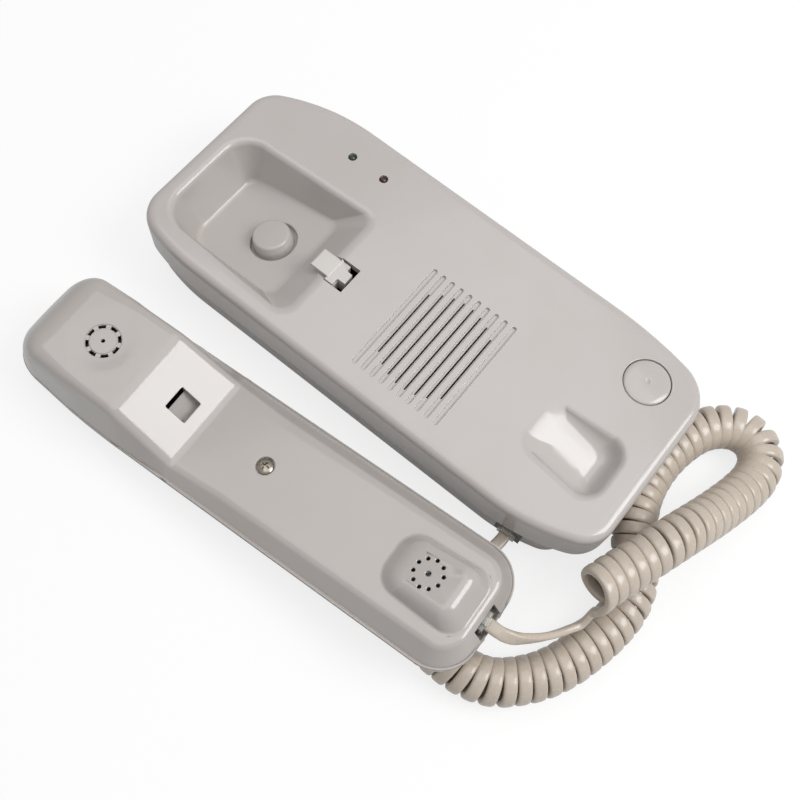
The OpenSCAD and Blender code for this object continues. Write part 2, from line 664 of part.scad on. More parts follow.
module handset_back_shell() color([0.73, 0.71, 0.69]) in_handset() difference() {
    union() {
        difference() {
            hs_back_form(0);
            hs_back_form(hs_wall);
        }
        translate([0, hs_screw_y, 1]) cylinder(r = 4.2, h = seam_z - 1);
        for (y = [-62.5, -17.5]) box(-11, 11, y - 0.8, y + 0.8, 1, 6);
        box(-jack_w / 2, jack_w / 2, -hs_end + 5, -hs_end + 15, 7.2, 9.4);
        for (sx = [-1, 1], dy = [-7.8, 9.4])
            translate([8.6 * sx, hs_ear_y + dy, 1])
                cylinder(r = 1.6, h = pad_z + dy * tan(pad_tilt) - hs_wall - 8.2);
    }
    translate([0, hs_screw_y, 3]) cylinder(r = 1.4, h = 20);
    box(-6, 6, -hs_end - 1, -hs_end + 4.5, 10.9, seam_z + 1);
}

module handset_screw() color([0.55, 0.52, 0.46]) in_handset()
    translate([0, hs_screw_y, grip_z - 1.8]) screw(3, 1.7, 1.4, 10);

module receiver_capsule() color([0.20, 0.20, 0.22]) in_handset() on_ear_pad() {
    translate([0, 0, -under_pad - 6.5]) cylinder(r = 15.9, h = 5);
    translate([0, 0, -under_pad - 10]) cylinder(r = 10, h = 3.6);
}

module receiver_gasket() color([0.10, 0.10, 0.10]) in_handset() on_ear_pad()
    translate([0, 0, -under_pad - 1.5]) tube(15.9, 12, 1.5);

module microphone_capsule() color([0.75, 0.75, 0.76]) in_handset() on_mouth_pad()
    translate([0, 0, -under_pad - 6.4]) cylinder(r = 4.8, h = 5);

module microphone_boot() color([0.10, 0.10, 0.10]) in_handset() on_mouth_pad() difference() {
    translate([0, 0, -under_pad - 7.5]) cylinder(r = 5.9, h = 7.5);
    translate([0, 0, -under_pad - 6.4]) cylinder(r = 4.8, h = 5);
    translate([0, 0, -under_pad - 2]) cylinder(r = 3.2, h = 3);
}

module handset_weight() color([0.45, 0.45, 0.46]) in_handset()
    box(-11, 11, -61.5, -18.5, hs_wall + 0.1, hs_wall + 4.1);

// ---------------------------------------------------------------- cord

function unit(v) = v / norm(v);

// A smooth curve through the points, with n steps in each span
function smooth_path(p, n) = [
    for (i = [0:len(p) - 2], k = [0:n - 1])
        let (t = k / n, a = p[max(i - 1, 0)], b = p[i], c = p[i + 1], d = p[min(i + 2, len(p) - 1)])
        0.5 * (2 * b + (c - a) * t + (2 * a - 5 * b + 4 * c - d) * t * t
            + (3 * b - a - 3 * c + d) * t * t * t),
    p[len(p) - 1]
];

function running(v, i = 0, sum = 0) = i >= len(v) ? [sum]
    : concat([sum], running(v, i + 1, sum + v[i]));

fine = smooth_path(coil_axis, step_per_span);
span_l = [for (i = [0:len(fine) - 2]) norm(fine[i + 1] - fine[i])];
// a bend needs more room for each turn on its inner side
function bend(i) = let (j = min(max(i, 4), len(fine) - 6), a = fine[j] - fine[j - 4], b = fine[j + 5] - fine[j + 1])
    norm(cross(unit(a), unit(b))) / max(norm(fine[j + 5] - fine[j - 4]) / 1.8, 0.1);
span_turns = [for (i = [0:len(span_l) - 1])
    span_l[i] * (1 - min(bend(i) * coil_d / 2 * 0.8, 0.6)) / (cord_w + turn_gap)];
turns_at = running(span_turns);
coil_turns = floor(turns_at[len(turns_at) - 1] - 0.8) + 0.8;
turn_scale = coil_turns / turns_at[len(turns_at) - 1];

function find_span(t, lo, hi) = hi - lo <= 1 ? lo
    : let (m = floor((lo + hi) / 2)) turns_at[m] * turn_scale <= t ? find_span(t, m, hi) : find_span(t, lo, m);

// the frame of the coil's axis after t turns: place, direction, side and up
function axis_frame(t) =
    let (i = find_span(t, 0, len(span_l) - 1),
         k = (t - turns_at[i] * turn_scale) / max(span_turns[i] * turn_scale, 1e-6),
         p = fine[i] + (fine[i + 1] - fine[i]) * k,
         d = unit(fine[min(i + 3, len(fine) - 1)] - fine[max(i - 2, 0)]),
         s = unit(cross(d, [0, 0, 1])))
    [p, d, s, cross(s, d)];

// the last half turn leaves the others and leads on towards the handset
function peel(t) = let (u = max(t - coil_turns + peel_turns, 0) / peel_turns) peel_l * u * u;
function curl_point(t) = let (f = axis_frame(t), a = 360 * t - 90)
    f[0] + peel(t) * f[1] + coil_r * (cos(a) * f[2] + sin(a) * f[3]);
function curl_out(t) = let (f = axis_frame(t), a = 360 * t - 90) cos(a) * f[2] + sin(a) * f[3];

curl_n = round(coil_turns * curl_rings);
curl_start = curl_point(0);
curl_end = curl_point(coil_turns);
curl_start_dir = unit(curl_point(0.004) - curl_point(0));
curl_end_dir = unit(curl_point(coil_turns) - curl_point(coil_turns - 0.004));

// every ring of the coil: centre, the way along the coil's axis and the way outwards
coil_rings = concat(
    [for (k = [-1, -0.5]) [curl_start + straight_end * k * curl_start_dir,
        axis_frame(0)[1], curl_out(0), curl_start_dir]],
    [for (i = [0:curl_n]) let (t = coil_turns * i / curl_n)
        [curl_point(t), axis_frame(t)[1], curl_out(t),
         unit(curl_point(min(t + 0.03, coil_turns)) - curl_point(max(t - 0.03, 0)))]],
    [for (k = [0.5, 1]) [curl_end + straight_end * k * curl_end_dir,
        axis_frame(coil_turns)[1], curl_out(coil_turns), curl_end_dir]]);

// the corners of a flat ring: w wide along u, t thick along v, square to the direction
function flat_ring(r, w, t, n) =
    let (v = unit(r[2] - (r[2] * r[3]) * r[3]), u = unit(cross(v, r[3])))
    [for (k = [0:n - 1]) let (a = 360 * (k + 0.5) / n)
        r[0] + w / 2 / cos(180 / n) * cos(a) * u + t / 2 * sin(a) / cos(180 / n) * v];

// a closed tube over rings of n corners each
module ring_tube(rings, n) {
    m = len(rings);
    polyhedron(
        points = [for (r = rings) each r],
        faces = concat(
            [for (i = [0:m - 2], k = [0:n - 1]) [i * n + k, i * n + (k + 1) % n, (i + 1) * n + k]],
            [for (i = [0:m - 2], k = [0:n - 1])
                [i * n + (k + 1) % n, (i + 1) * n + (k + 1) % n, (i + 1) * n + k]],
            [for (k = [1:n - 2]) [0, k + 1, k]],
            [for (k = [1:n - 2]) [(m - 1) * n, (m - 1) * n + k, (m - 1) * n + k + 1]]));
}

module cord_coil() {
    rings = [for (r = coil_rings) flat_ring(r, cord_w, cord_t, 6)];
    m = len(rings);
    gap = min([for (i = [0:m - 1 - 5], j = [i + 5:m - 1])
        if (norm(coil_rings[i][0] - coil_rings[j][0]) < 12)
            min([for (a = rings[i], b = rings[j]) norm(a - b)])]);
    echo(coil_turns = coil_turns, least_gap = gap);
    color([0.75, 0.71, 0.66]) ring_tube(rings, 6);
}

// a plain stretch of the flat cord; its flat side turns from one normal to another
module plain_lead(path, normal_a, normal_b, dir_a, dir_b) {
    m = len(path);
    rings = [for (i = [0:m - 1])
        let (t = i / (m - 1),
             d = i == 0 ? dir_a : i == m - 1 ? dir_b : unit(path[i + 1] - path[i - 1]))
        flat_ring([path[i], d, (1 - t) * normal_a + t * normal_b, d], cord_w, cord_t, 8)];
    color([0.75, 0.71, 0.66]) ring_tube(rings, 8);
}

module cord_base_lead() {
    path = concat(base_lead_path, [curl_start - (straight_end + 0.2) * curl_start_dir]);
    plain_lead(smooth_path(path, 3), [0, 0, 1], -curl_out(0), [-1, 0, 0], curl_start_dir);
}

hs_axis_y = [-cos(hs_tilt) * sin(hs_yaw), cos(hs_tilt) * cos(hs_yaw), -sin(hs_tilt)];
hs_axis_z = [-sin(hs_tilt) * sin(hs_yaw), sin(hs_tilt) * cos(hs_yaw), cos(hs_tilt)];
hs_cord_exit = hs_pos + (hs_jack_y - tail_l) * hs_axis_y + hs_port_z * hs_axis_z;

module cord_handset_lead() {
    path = concat([curl_end + (straight_end + 0.4) * curl_end_dir], handset_lead_path,
        [hs_cord_exit - 3 * hs_axis_y, hs_cord_exit]);
    plain_lead(smooth_path(path, 3), curl_out(coil_turns), hs_axis_z, curl_end_dir, hs_axis_y);
}

front_cover();
back_housing();
cover_screws();
circuit_board();
board_screws();
board_parts();
terminal_block();
terminal_screws();
speaker();
speaker_gasket();
speaker_clamps();
speaker_screws();
green_lamp();
red_lamp();
lamp_spacers();
hook_button();
hook_button_spring();
hook_switch();
call_button();
call_button_spring();
call_switch();
handset_hook();
base_jack();
base_plug();
cord_base_lead();
cord_coil();
cord_handset_lead();
handset_plug();
handset_jack();
handset_front_shell();
handset_back_shell();
handset_screw();
receiver_capsule();
receiver_gasket();
microphone_capsule();
microphone_boot();
handset_weight();
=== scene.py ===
"""Slimline wall phone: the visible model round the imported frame.

Lengths are in millimetres in the row's frame until a mesh is made, and in metres after that.
The base lies on its back housing: X to the right, Y towards the earpiece end, Z off the wall.
"""

from __future__ import annotations

import logging
import math
from dataclasses import dataclass
from enum import Enum
from typing import Callable, Sequence

import bmesh
import bpy
import numpy as np
from mathutils import Matrix, Vector
from mathutils.geometry import delaunay_2d_cdt

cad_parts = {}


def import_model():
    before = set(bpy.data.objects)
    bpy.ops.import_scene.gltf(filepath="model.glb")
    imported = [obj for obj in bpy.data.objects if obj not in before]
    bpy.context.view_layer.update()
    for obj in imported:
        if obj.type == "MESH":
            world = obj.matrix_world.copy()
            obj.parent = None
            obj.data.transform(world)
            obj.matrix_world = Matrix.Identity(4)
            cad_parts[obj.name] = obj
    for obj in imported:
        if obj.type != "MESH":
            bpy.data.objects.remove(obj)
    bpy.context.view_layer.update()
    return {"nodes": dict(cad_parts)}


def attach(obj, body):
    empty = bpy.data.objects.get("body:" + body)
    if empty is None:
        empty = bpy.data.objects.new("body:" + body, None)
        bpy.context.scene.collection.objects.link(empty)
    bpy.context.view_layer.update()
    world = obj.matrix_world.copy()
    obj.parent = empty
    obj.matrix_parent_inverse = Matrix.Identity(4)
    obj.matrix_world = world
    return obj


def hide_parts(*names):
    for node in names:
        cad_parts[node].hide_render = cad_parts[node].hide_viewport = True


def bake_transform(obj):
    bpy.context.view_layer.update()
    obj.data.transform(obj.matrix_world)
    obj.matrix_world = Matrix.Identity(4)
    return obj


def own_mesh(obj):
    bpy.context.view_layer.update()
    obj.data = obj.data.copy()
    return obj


log = logging.getLogger("wall_phone")

MM = 0.001
BASE_DEPTH = 36.0
CRADLE_X = -12.0
SHARP = 38.0
BASE_PORT = (-43.8, -79.0, 9.9)
Array = np.ndarray
Triple = tuple[float, float, float]
Move = Callable[[Array], Array]


# ------------------------------------------------------------------ shader maths


class Sock:
    """A socket or a number that arithmetic can be written with; each operator adds a Math node."""

    def __init__(self, tree: bpy.types.NodeTree, value: object) -> None:
        """Holds a socket or a number of tree."""
        self.tree = tree
        self.value = value

    def _math(self, operation: str, *values: object, clamp: bool = False) -> "Sock":
        """Adds one Math node.

        Args:
            operation: the node's operation.
            values: its inputs, sockets or numbers.
            clamp: whether the result is kept from 0 to 1.

        Returns:
            The node's result.
        """
        node = self.tree.nodes.new("ShaderNodeMath")
        node.operation = operation
        node.use_clamp = clamp
        for socket, value in zip(node.inputs, values):
            plug_in(self.tree, socket, value)
        return Sock(self.tree, node.outputs[0])

    def __add__(self, other: object) -> "Sock":
        """The sum."""
        return self._math("ADD", self, other)

    __radd__ = __add__

    def __sub__(self, other: object) -> "Sock":
        """The difference."""
        return self._math("SUBTRACT", self, other)

    def __rsub__(self, other: object) -> "Sock":
        """The difference the other way round."""
        return self._math("SUBTRACT", other, self)

    def __mul__(self, other: object) -> "Sock":
        """The product."""
        return self._math("MULTIPLY", self, other)

    def __pow__(self, other: object) -> "Sock":
        """The power."""
        return self._math("POWER", self, other)

    def clamp(self) -> "Sock":
        """This, kept from 0 to 1."""
        return self._math("ADD", self, 0.0, clamp=True)


def plug_in(tree: bpy.types.NodeTree, socket: bpy.types.NodeSocket, value: object) -> None:
    """Links a Sock to a socket, or sets the socket to a plain value.

    Args:
        tree: the node tree.
        socket: the input socket.
        value: a Sock, a number or a colour.
    """
    if isinstance(value, Sock):
        plug_in(tree, socket, value.value)
    elif isinstance(value, bpy.types.NodeSocket):
        tree.links.new(value, socket)
    elif isinstance(value, tuple) and socket.type == "RGBA" and len(value) == 3:
        socket.default_value = (*value, 1.0)
    else:
        socket.default_value = value


class Graph:
    """The node tree of a new material, or of the world that is given."""

    def __init__(self, name: str, owner: bpy.types.ID | None = None) -> None:
        """Starts the tree.

        Args:
            name: the new material's name.
            owner: the world, whose own nodes stay.
        """
        self.owner = owner or bpy.data.materials.new(name)
        self.owner.use_nodes = True
        self.tree = self.owner.node_tree
        if owner is None:
            self.tree.nodes.clear()

    def node(self, kind: str, settings: dict | None = None, out: object = 0, **inputs: object) -> Sock:
        """Adds a node.

        Args:
            kind: the node's type without its ShaderNode prefix.
            settings: attributes of the node.
            out: name or number of the output that is returned.
            inputs: values or links, by socket name with _ for a space, or in_N for socket number N.

        Returns:
            The output.
        """
        node = self.node_of(kind, **inputs)
        for key, value in (settings or {}).items():
            setattr(node, key, value)
        return Sock(self.tree, node.outputs[out])

    def node_of(self, kind: str, **inputs: object) -> bpy.types.Node:
        """Adds a node and fills its inputs, and gives the node itself.

        Args:
            kind: the node's type without its ShaderNode prefix.
            inputs: values or links, named as in node().

        Returns:
            The node.
        """
        node = self.tree.nodes.new(f"ShaderNode{kind}")
        for key, value in inputs.items():
            place = int(key[3:]) if key.startswith("in_") else key.replace("_", " ")
            plug_in(self.tree, node.inputs[place], value)
        return node

    def spot(self) -> Sock:
        """Object coordinates, in metres."""
        return self.node("TexCoord", out="Object")

    def noise(self, scale: float, detail: float = 3.0, roughness: float = 0.5, where: Sock | None = None) -> Sock:
        """A cloudy value round 0.5, with scale features in a metre."""
        return self.node("TexNoise", Vector=where or self.spot(), Scale=scale, Detail=detail, Roughness=roughness)

    def ramp(self, value: Sock, low: float, high: float) -> Sock:
        """Value from low to high, spread from 0 to 1 and eased."""
        return self.node("MapRange", {"interpolation_type": "SMOOTHSTEP"}, Value=value, From_Min=low, From_Max=high)

    def mix(self, share: object, first: object, second: object) -> Sock:
        """First colour at share 0 and second at share 1."""
        return self.node("Mix", {"data_type": "RGBA"}, out=2, in_0=share, in_6=first, in_7=second)

    def bump(self, height: Sock, distance: float, strength: float) -> Sock:
        """A normal from a height that is given in units of distance metres."""
        return self.node("Bump", Height=height, Distance=distance, Strength=strength)

    def finish(self, **inputs: object) -> bpy.types.Material:
        """Ends the tree in a Principled shader with these inputs."""
        return self.show(self.node("BsdfPrincipled", **inputs))

    def show(self, shader: Sock) -> bpy.types.Material:
        """Links a shader to the surface, and gives the material."""
        self.node_of("OutputMaterial", Surface=shader)
        return self.owner


def scaled(colour: Triple, share: float) -> Triple:
    """A darker colour."""
    return tuple(c * share for c in colour)


# ------------------------------------------------------------------ finishes


@dataclass(frozen=True)
class MouldedPlastic:
    """Injection-moulded ABS: a hard gloss over a faint ripple, mottled and a little worn.

    colour and aged are linear; the second shows in clouds a few centimetres across.
    """

    name: str
    colour: Triple
    aged: Triple
    roughness: float = 0.3
    ripple: float = 0.00002
    scuffs: float = 0.3

    def material(self) -> bpy.types.Material:
        """Builds the finish.

        Returns:
            The material.
        """
        g = Graph(self.name)
        clouds = g.ramp(g.noise(26.0, 4.0, 0.55), 0.38, 0.68)
        specks = g.ramp(g.noise(900.0, 2.0, 0.6), 0.69, 0.78)
        tint = g.mix(specks * 0.12, g.mix(clouds * 0.5, self.colour, self.aged), scaled(self.aged, 0.84))
        # hair scratches: thin bands of a noise that is stretched along one direction
        along = g.node("Mapping", Vector=g.spot(), Rotation=(0.0, 0.0, 0.7), Scale=(900.0, 38.0, 60.0))
        line = g.noise(1.0, 1.0, 0.4, along)
        scratch = (1.0 - g.ramp((line - 0.5) ** 2.0, 0.0, 0.00008)) * g.ramp(g.noise(45.0), 0.55, 0.75)
        rough = self.roughness + (g.noise(110.0, 3.0, 0.5) - 0.5) * 0.05 + scratch * self.scuffs * 0.35
        ripple = g.noise(170.0, 1.0, 0.5) + g.noise(1900.0, 1.0, 0.5) * 0.05
        return g.finish(
            Base_Color=tint, Roughness=rough.clamp(), Normal=g.bump(ripple, self.ripple, 0.8),
            Coat_Weight=0.25, Coat_Roughness=0.06, IOR=1.5,
        )


@dataclass(frozen=True)
class CordVinyl:
    """Soft PVC of a handset cord: satin, with draw lines along it and a trace of grime."""

    name: str
    colour: Triple
    grime: Triple

    def material(self) -> bpy.types.Material:
        """Builds the finish; U of the piece's map runs round the cord and V along it, in metres.

        Returns:
            The material.
        """
        g = Graph(self.name)
        clouds = g.ramp(g.noise(90.0, 4.0, 0.6), 0.42, 0.72)
        drawn = g.noise(1.0, 2.0, 0.5, g.node("Mapping", Vector=g.node("UVMap"), Scale=(46.0, 14.0, 1.0)))
        tint = g.mix(clouds * 0.55 + drawn * 0.1, self.colour, self.grime)
        rough = 0.27 + (g.noise(400.0, 3.0) - 0.5) * 0.12
        height = drawn * 0.6 + g.noise(1800.0, 2.0) * 0.4
        return g.finish(
            Base_Color=tint, Roughness=rough.clamp(), Normal=g.bump(height, 0.00003, 0.6),
            Coat_Weight=0.2, Coat_Roughness=0.1, Sheen_Weight=0.08, Sheen_Roughness=0.4, IOR=1.5,
        )


@dataclass(frozen=True)
class ClearPlastic:
    """Clear polycarbonate of a modular plug."""

    name: str
    tint: Triple

    def material(self) -> bpy.types.Material:
        """Builds the finish.

        Returns:
            The material.
        """
        g = Graph(self.name)
        haze = g.noise(700.0, 3.0)
        return g.finish(
            Base_Color=g.mix(g.ramp(haze, 0.4, 0.7) * 0.4, self.tint, scaled(self.tint, 0.86)),
            Roughness=(0.1 + haze * 0.12).clamp(), Normal=g.bump(haze, 0.00003, 0.5),
            Transmission_Weight=0.7, IOR=1.49,
        )


@dataclass(frozen=True)
class LampLens:
    """Dyed epoxy of an unlit lamp."""

    name: str
    colour: Triple

    def material(self) -> bpy.types.Material:
        """Builds the finish.

        Returns:
            The material.
        """
        g = Graph(self.name)
        swirl = g.noise(1500.0, 2.0)
        return g.finish(
            Base_Color=g.mix(swirl, self.colour, scaled(self.colour, 0.6)),
            Roughness=(0.14 + swirl * 0.1).clamp(), Normal=g.bump(swirl, 0.00002, 0.4),
            Subsurface_Weight=0.2, Subsurface_Radius=(0.6, 0.4, 0.3), Subsurface_Scale=0.002, IOR=1.5,
        )


@dataclass(frozen=True)
class PlatedMetal:
    """Plated or bare metal with turned marks and dull patches."""

    name: str
    colour: Triple
    roughness: float = 0.32

    def material(self) -> bpy.types.Material:
        """Builds the finish.

        Returns:
            The material.
        """
        g = Graph(self.name)
        patches = g.ramp(g.noise(500.0, 4.0, 0.6), 0.4, 0.7)
        marks = g.noise(3500.0, 2.0)
        return g.finish(
            Base_Color=g.mix(patches * 0.6, self.colour, scaled(self.colour, 0.62)),
            Metallic=1.0, Roughness=(self.roughness + patches * 0.16 + (marks - 0.5) * 0.1).clamp(),
            Normal=g.bump(marks, 0.00003, 0.5),
        )


@dataclass(frozen=True)
class DarkPart:
    """Black moulded, foam or rubber pieces inside and in the sockets."""

    name: str
    colour: Triple
    roughness: float = 0.5
    grain: float = 1200.0

    def material(self) -> bpy.types.Material:
        """Builds the finish.

        Returns:
            The material.
        """
        g = Graph(self.name)
        grain = g.noise(self.grain, 3.0, 0.6)
        lighter = tuple(min(1.0, c * 1.7 + 0.012) for c in self.colour)
        return g.finish(
            Base_Color=g.mix(g.ramp(grain, 0.4, 0.75), self.colour, lighter),
            Roughness=(self.roughness + (grain - 0.5) * 0.2).clamp(),
            Normal=g.bump(grain, 0.00006, 0.6),
        )


@dataclass(frozen=True)
class CircuitLaminate:
    """Green-masked glass laminate with lighter tracks under the mask."""

    name: str
    mask: Triple
    track: Triple

    def material(self) -> bpy.types.Material:
        """Builds the finish; tracks are the edges of square cells.

        Returns:
            The material.
        """
        g = Graph(self.name)
        cells = g.node("TexVoronoi", {"feature": "DISTANCE_TO_EDGE"}, "Distance", Vector=g.spot(), Scale=170.0)
        tracks = 1.0 - g.ramp(cells, 0.05, 0.09)
        weave = g.noise(2400.0, 2.0)
        return g.finish(
            Base_Color=g.mix(tracks, self.mask, self.track), Roughness=(0.34 + weave * 0.12).clamp(),
            Normal=g.bump(tracks * 0.6 + weave * 0.1, 0.00005, 0.6),
        )


class Finish(Enum):
    """The finishes of this object."""

    COVER = MouldedPlastic("abs_cover", (0.518, 0.486, 0.467), (0.494, 0.457, 0.431), 0.19)
    BACK = MouldedPlastic("abs_back", (0.46, 0.43, 0.405), (0.43, 0.40, 0.37), 0.3)
    HANDSET = MouldedPlastic("abs_handset", (0.475, 0.443, 0.42), (0.45, 0.417, 0.39), 0.15)
    HOOK = MouldedPlastic("abs_hook", (0.60, 0.575, 0.545), (0.56, 0.535, 0.50), 0.3)
    CORD = CordVinyl("cord_vinyl", (0.545, 0.475, 0.40), (0.49, 0.42, 0.345))
    PLUG = ClearPlastic("clear_plug", (0.88, 0.86, 0.80))
    GREEN = LampLens("lamp_green", (0.055, 0.075, 0.055))
    RED = LampLens("lamp_red", (0.085, 0.028, 0.026))
    SCREW = PlatedMetal("zinc_screw", (0.36, 0.325, 0.27), 0.24)
    SPRING = PlatedMetal("spring_steel", (0.60, 0.60, 0.58))
    SPEAKER = PlatedMetal("speaker_metal", (0.10, 0.10, 0.105), 0.45)
    CAPSULE = PlatedMetal("capsule_aluminium", (0.72, 0.72, 0.72))
    WEIGHT = PlatedMetal("steel_weight", (0.34, 0.34, 0.34), 0.5)
    BLACK = DarkPart("component_black", (0.012, 0.012, 0.013), 0.42)
    FOAM = DarkPart("foam_black", (0.010, 0.010, 0.010), 0.9, 2200.0)
    RUBBER = DarkPart("rubber_black", (0.014, 0.014, 0.014), 0.7, 900.0)
    TERMINAL = DarkPart("terminal_green", (0.030, 0.14, 0.05), 0.45)
    NYLON = DarkPart("nylon_natural", (0.62, 0.60, 0.54), 0.45)
    BOARD = CircuitLaminate("fibreglass", (0.008, 0.075, 0.028), (0.02, 0.16, 0.06))

    def dress(self, piece: bpy.types.Object) -> None:
        """Gives this finish to a new piece or a CAD node.

        Args:
            piece: the piece or node.
        """
        name = self.value.name + "_finish"
        material = bpy.data.materials.get(name)
        if material is None:
            material = self.value.material()
            material.name = name
        if piece.material_slots:
            for place in piece.material_slots:
                place.material = material
        else:
            piece.data.materials.append(material)


# ------------------------------------------------------------------ surfaces


def unit(v: Array) -> Array:
    """Each row of v, made one long."""
    return v / np.maximum(np.linalg.norm(v, axis=-1, keepdims=True), 1e-12)


def spans(path: Array) -> Array:
    """Length of each span of a path."""
    return np.linalg.norm(np.diff(path, axis=0), axis=1)


def arc(centre: Sequence[float], radius: float, start: float, end: float, steps: int) -> Array:
    """Points on a circle: centre plus radius times (cos a, sin a), for a from start to end degrees."""
    a = np.radians(np.linspace(start, end, steps + 1))
    return np.stack([centre[0] + radius * np.cos(a), centre[1] + radius * np.sin(a)], 1)


def ring(centre: Sequence[float], radius: float, steps: int = 48) -> Array:
    """A whole circle, anticlockwise, without its repeated last point."""
    return arc(centre, radius, 0.0, 360.0, steps)[:-1]


def four_corners(
    low_half: float, high_half: float, low: float, high: float, radius: float | Sequence[float],
    x: float, steps: int, grow: float = 0.0,
) -> Array:
    """A rounded four-sided loop, anticlockwise from the right-hand side of its top corner.

    Args:
        low_half: half of its width at its lower edge.
        high_half: half of its width at its upper edge.
        low: Y of the lower edge.
        high: Y of the upper edge.
        radius: the corners' radius, or one for each corner in their order.
        x: its middle.
        steps: steps in each corner.
        grow: how far the whole loop is moved outwards.

    Returns:
        The loop, (4 * (steps + 1), 2).
    """
    corners = ((high_half, high, 1, 1), (high_half, high, -1, 1), (low_half, low, -1, -1), (low_half, low, 1, -1))
    radii = np.broadcast_to(np.asarray(radius, float), 4)
    return np.concatenate([
        arc((x + sx * (half - r), end - sy * r), r + grow, 90 * i, 90 * i + 90, steps)
        for i, ((half, end, sx, sy), r) in enumerate(zip(corners, radii))
    ])


def stadium(centre: Sequence[float], half_length: float, radius: float) -> Array:
    """A slot along X with round ends, anticlockwise.

    Args:
        centre: its middle.
        half_length: half of its length.
        radius: half of its width.

    Returns:
        The loop.
    """
    far = half_length - radius
    return np.concatenate([
        arc((centre[0] + x, centre[1]), radius, start, start + 180, 9) for x, start in ((far, -90), (-far, 90))
    ])


def mirrored(x: Array, y: Array) -> Array:
    """A loop from its half on the positive side of X."""
    return np.column_stack([np.concatenate([x, -x[::-1]]), np.concatenate([y, y[::-1]])])


def at_height(loop: Array, z: float | Array) -> Array:
    """A flat loop lifted to z."""
    return np.column_stack([loop, np.broadcast_to(z, len(loop))])


def level(z: float, change: Move = np.asarray) -> Move:
    """A move that lifts flat points to height z and puts them through change."""
    return lambda p: change(at_height(p, z))


def stack(loop: Callable[[float], Array], levels: Sequence[tuple[float, float]], change: Move = np.asarray) -> list:
    """loop(a) at height z, for each (a, z) of levels, put through change."""
    return [level(z, change)(loop(a)) for a, z in levels]


def turned_profile(rings: Sequence[Array], cuts: Sequence[float | Array], steps: int) -> Array:
    """Rings joined by walls whose corners are rounded.

    Each column runs straight from ring to ring, and at inner ring i its corner is replaced by a quadratic
    Bezier that begins cuts[i - 1] before the ring and ends as far after it, or at 0.48 of a wall that is
    shorter, and at 0.98 of the first and the last.

    Args:
        rings: loops with equal numbers of points.
        cuts: one for each inner ring, a number or one for each point.
        steps: steps in each rounded corner.

    Returns:
        All rings, (rows, points, 3).
    """
    rows = [rings[0]]
    s = np.linspace(0.0, 1.0, steps + 1)[:, None, None]
    for i, cut in enumerate(cuts, 1):
        before, here, after = rings[i - 1], rings[i], rings[i + 1]
        if np.ndim(cut) == 0 and cut == 0:
            rows.append(here)
            continue
        cut = np.reshape(cut, (-1, 1))
        share = (0.98 if i == 1 else 0.48, 0.98 if i == len(cuts) else 0.48)
        back = np.linalg.norm(before - here, axis=1, keepdims=True)
        on = np.linalg.norm(after - here, axis=1, keepdims=True)
        p = here + unit(before - here) * np.minimum(cut, share[0] * back)
        q = here + unit(after - here) * np.minimum(cut, share[1] * on)
        rows.extend((1 - s) ** 2 * p + 2 * s * (1 - s) * here + s**2 * q)
    rows.append(rings[-1])
    return np.array(rows)


def inside(points: Array, loop: Array) -> Array:
    """Whether each point is inside a loop: an even-odd count of the edges to its right.

    Args:
        points: flat points.
        loop: the loop.

    Returns:
        One truth value for each point.
    """
    x, y = points[:, None, 0], points[:, None, 1]
    a, b = loop[None], np.roll(loop, -1, 0)[None]
    crosses = (a[..., 1] > y) != (b[..., 1] > y)
    rise = np.where(b[..., 1] == a[..., 1], 1e-12, b[..., 1] - a[..., 1])
    return (crosses & (x < a[..., 0] + (y - a[..., 1]) / rise * (b[..., 0] - a[..., 0]))).sum(1) % 2 == 1


def in_scene(name: str, data: bpy.types.ID) -> bpy.types.Object:
    """Puts a mesh, lamp or camera into the scene.

    Args:
        name: the new object's name.
        data: what it shows.

    Returns:
        The object.
    """
    piece = bpy.data.objects.new(name, data)
    bpy.context.scene.collection.objects.link(piece)
    return piece


def mesh_piece(name: str, points: Array, faces: list, sharp: float, weld: float = 0.0) -> bpy.types.Object:
    """Makes a smooth-shaded piece whose faces are turned to point outwards.

    Args:
        name: the piece's name.
        points: its points, in millimetres.
        faces: each face's points by number.
        sharp: edges that turn more than this many degrees stay sharp.
        weld: points nearer than this many millimetres become one.

    Returns:
        The piece.
    """
    mesh = bpy.data.meshes.new(name)
    mesh.from_pydata((points * MM).tolist(), [], faces)
    soft = bmesh.new()
    soft.from_mesh(mesh)
    if weld:
        bmesh.ops.remove_doubles(soft, verts=soft.verts, dist=weld * MM)
        bmesh.ops.dissolve_degenerate(soft, edges=soft.edges, dist=0.0005 * MM)
    bmesh.ops.recalc_face_normals(soft, faces=soft.faces)
    soft.to_mesh(mesh)
    soft.free()
    mesh.shade_smooth()
    mesh.set_sharp_from_angle(angle=math.radians(sharp))
    return in_scene(name, mesh)


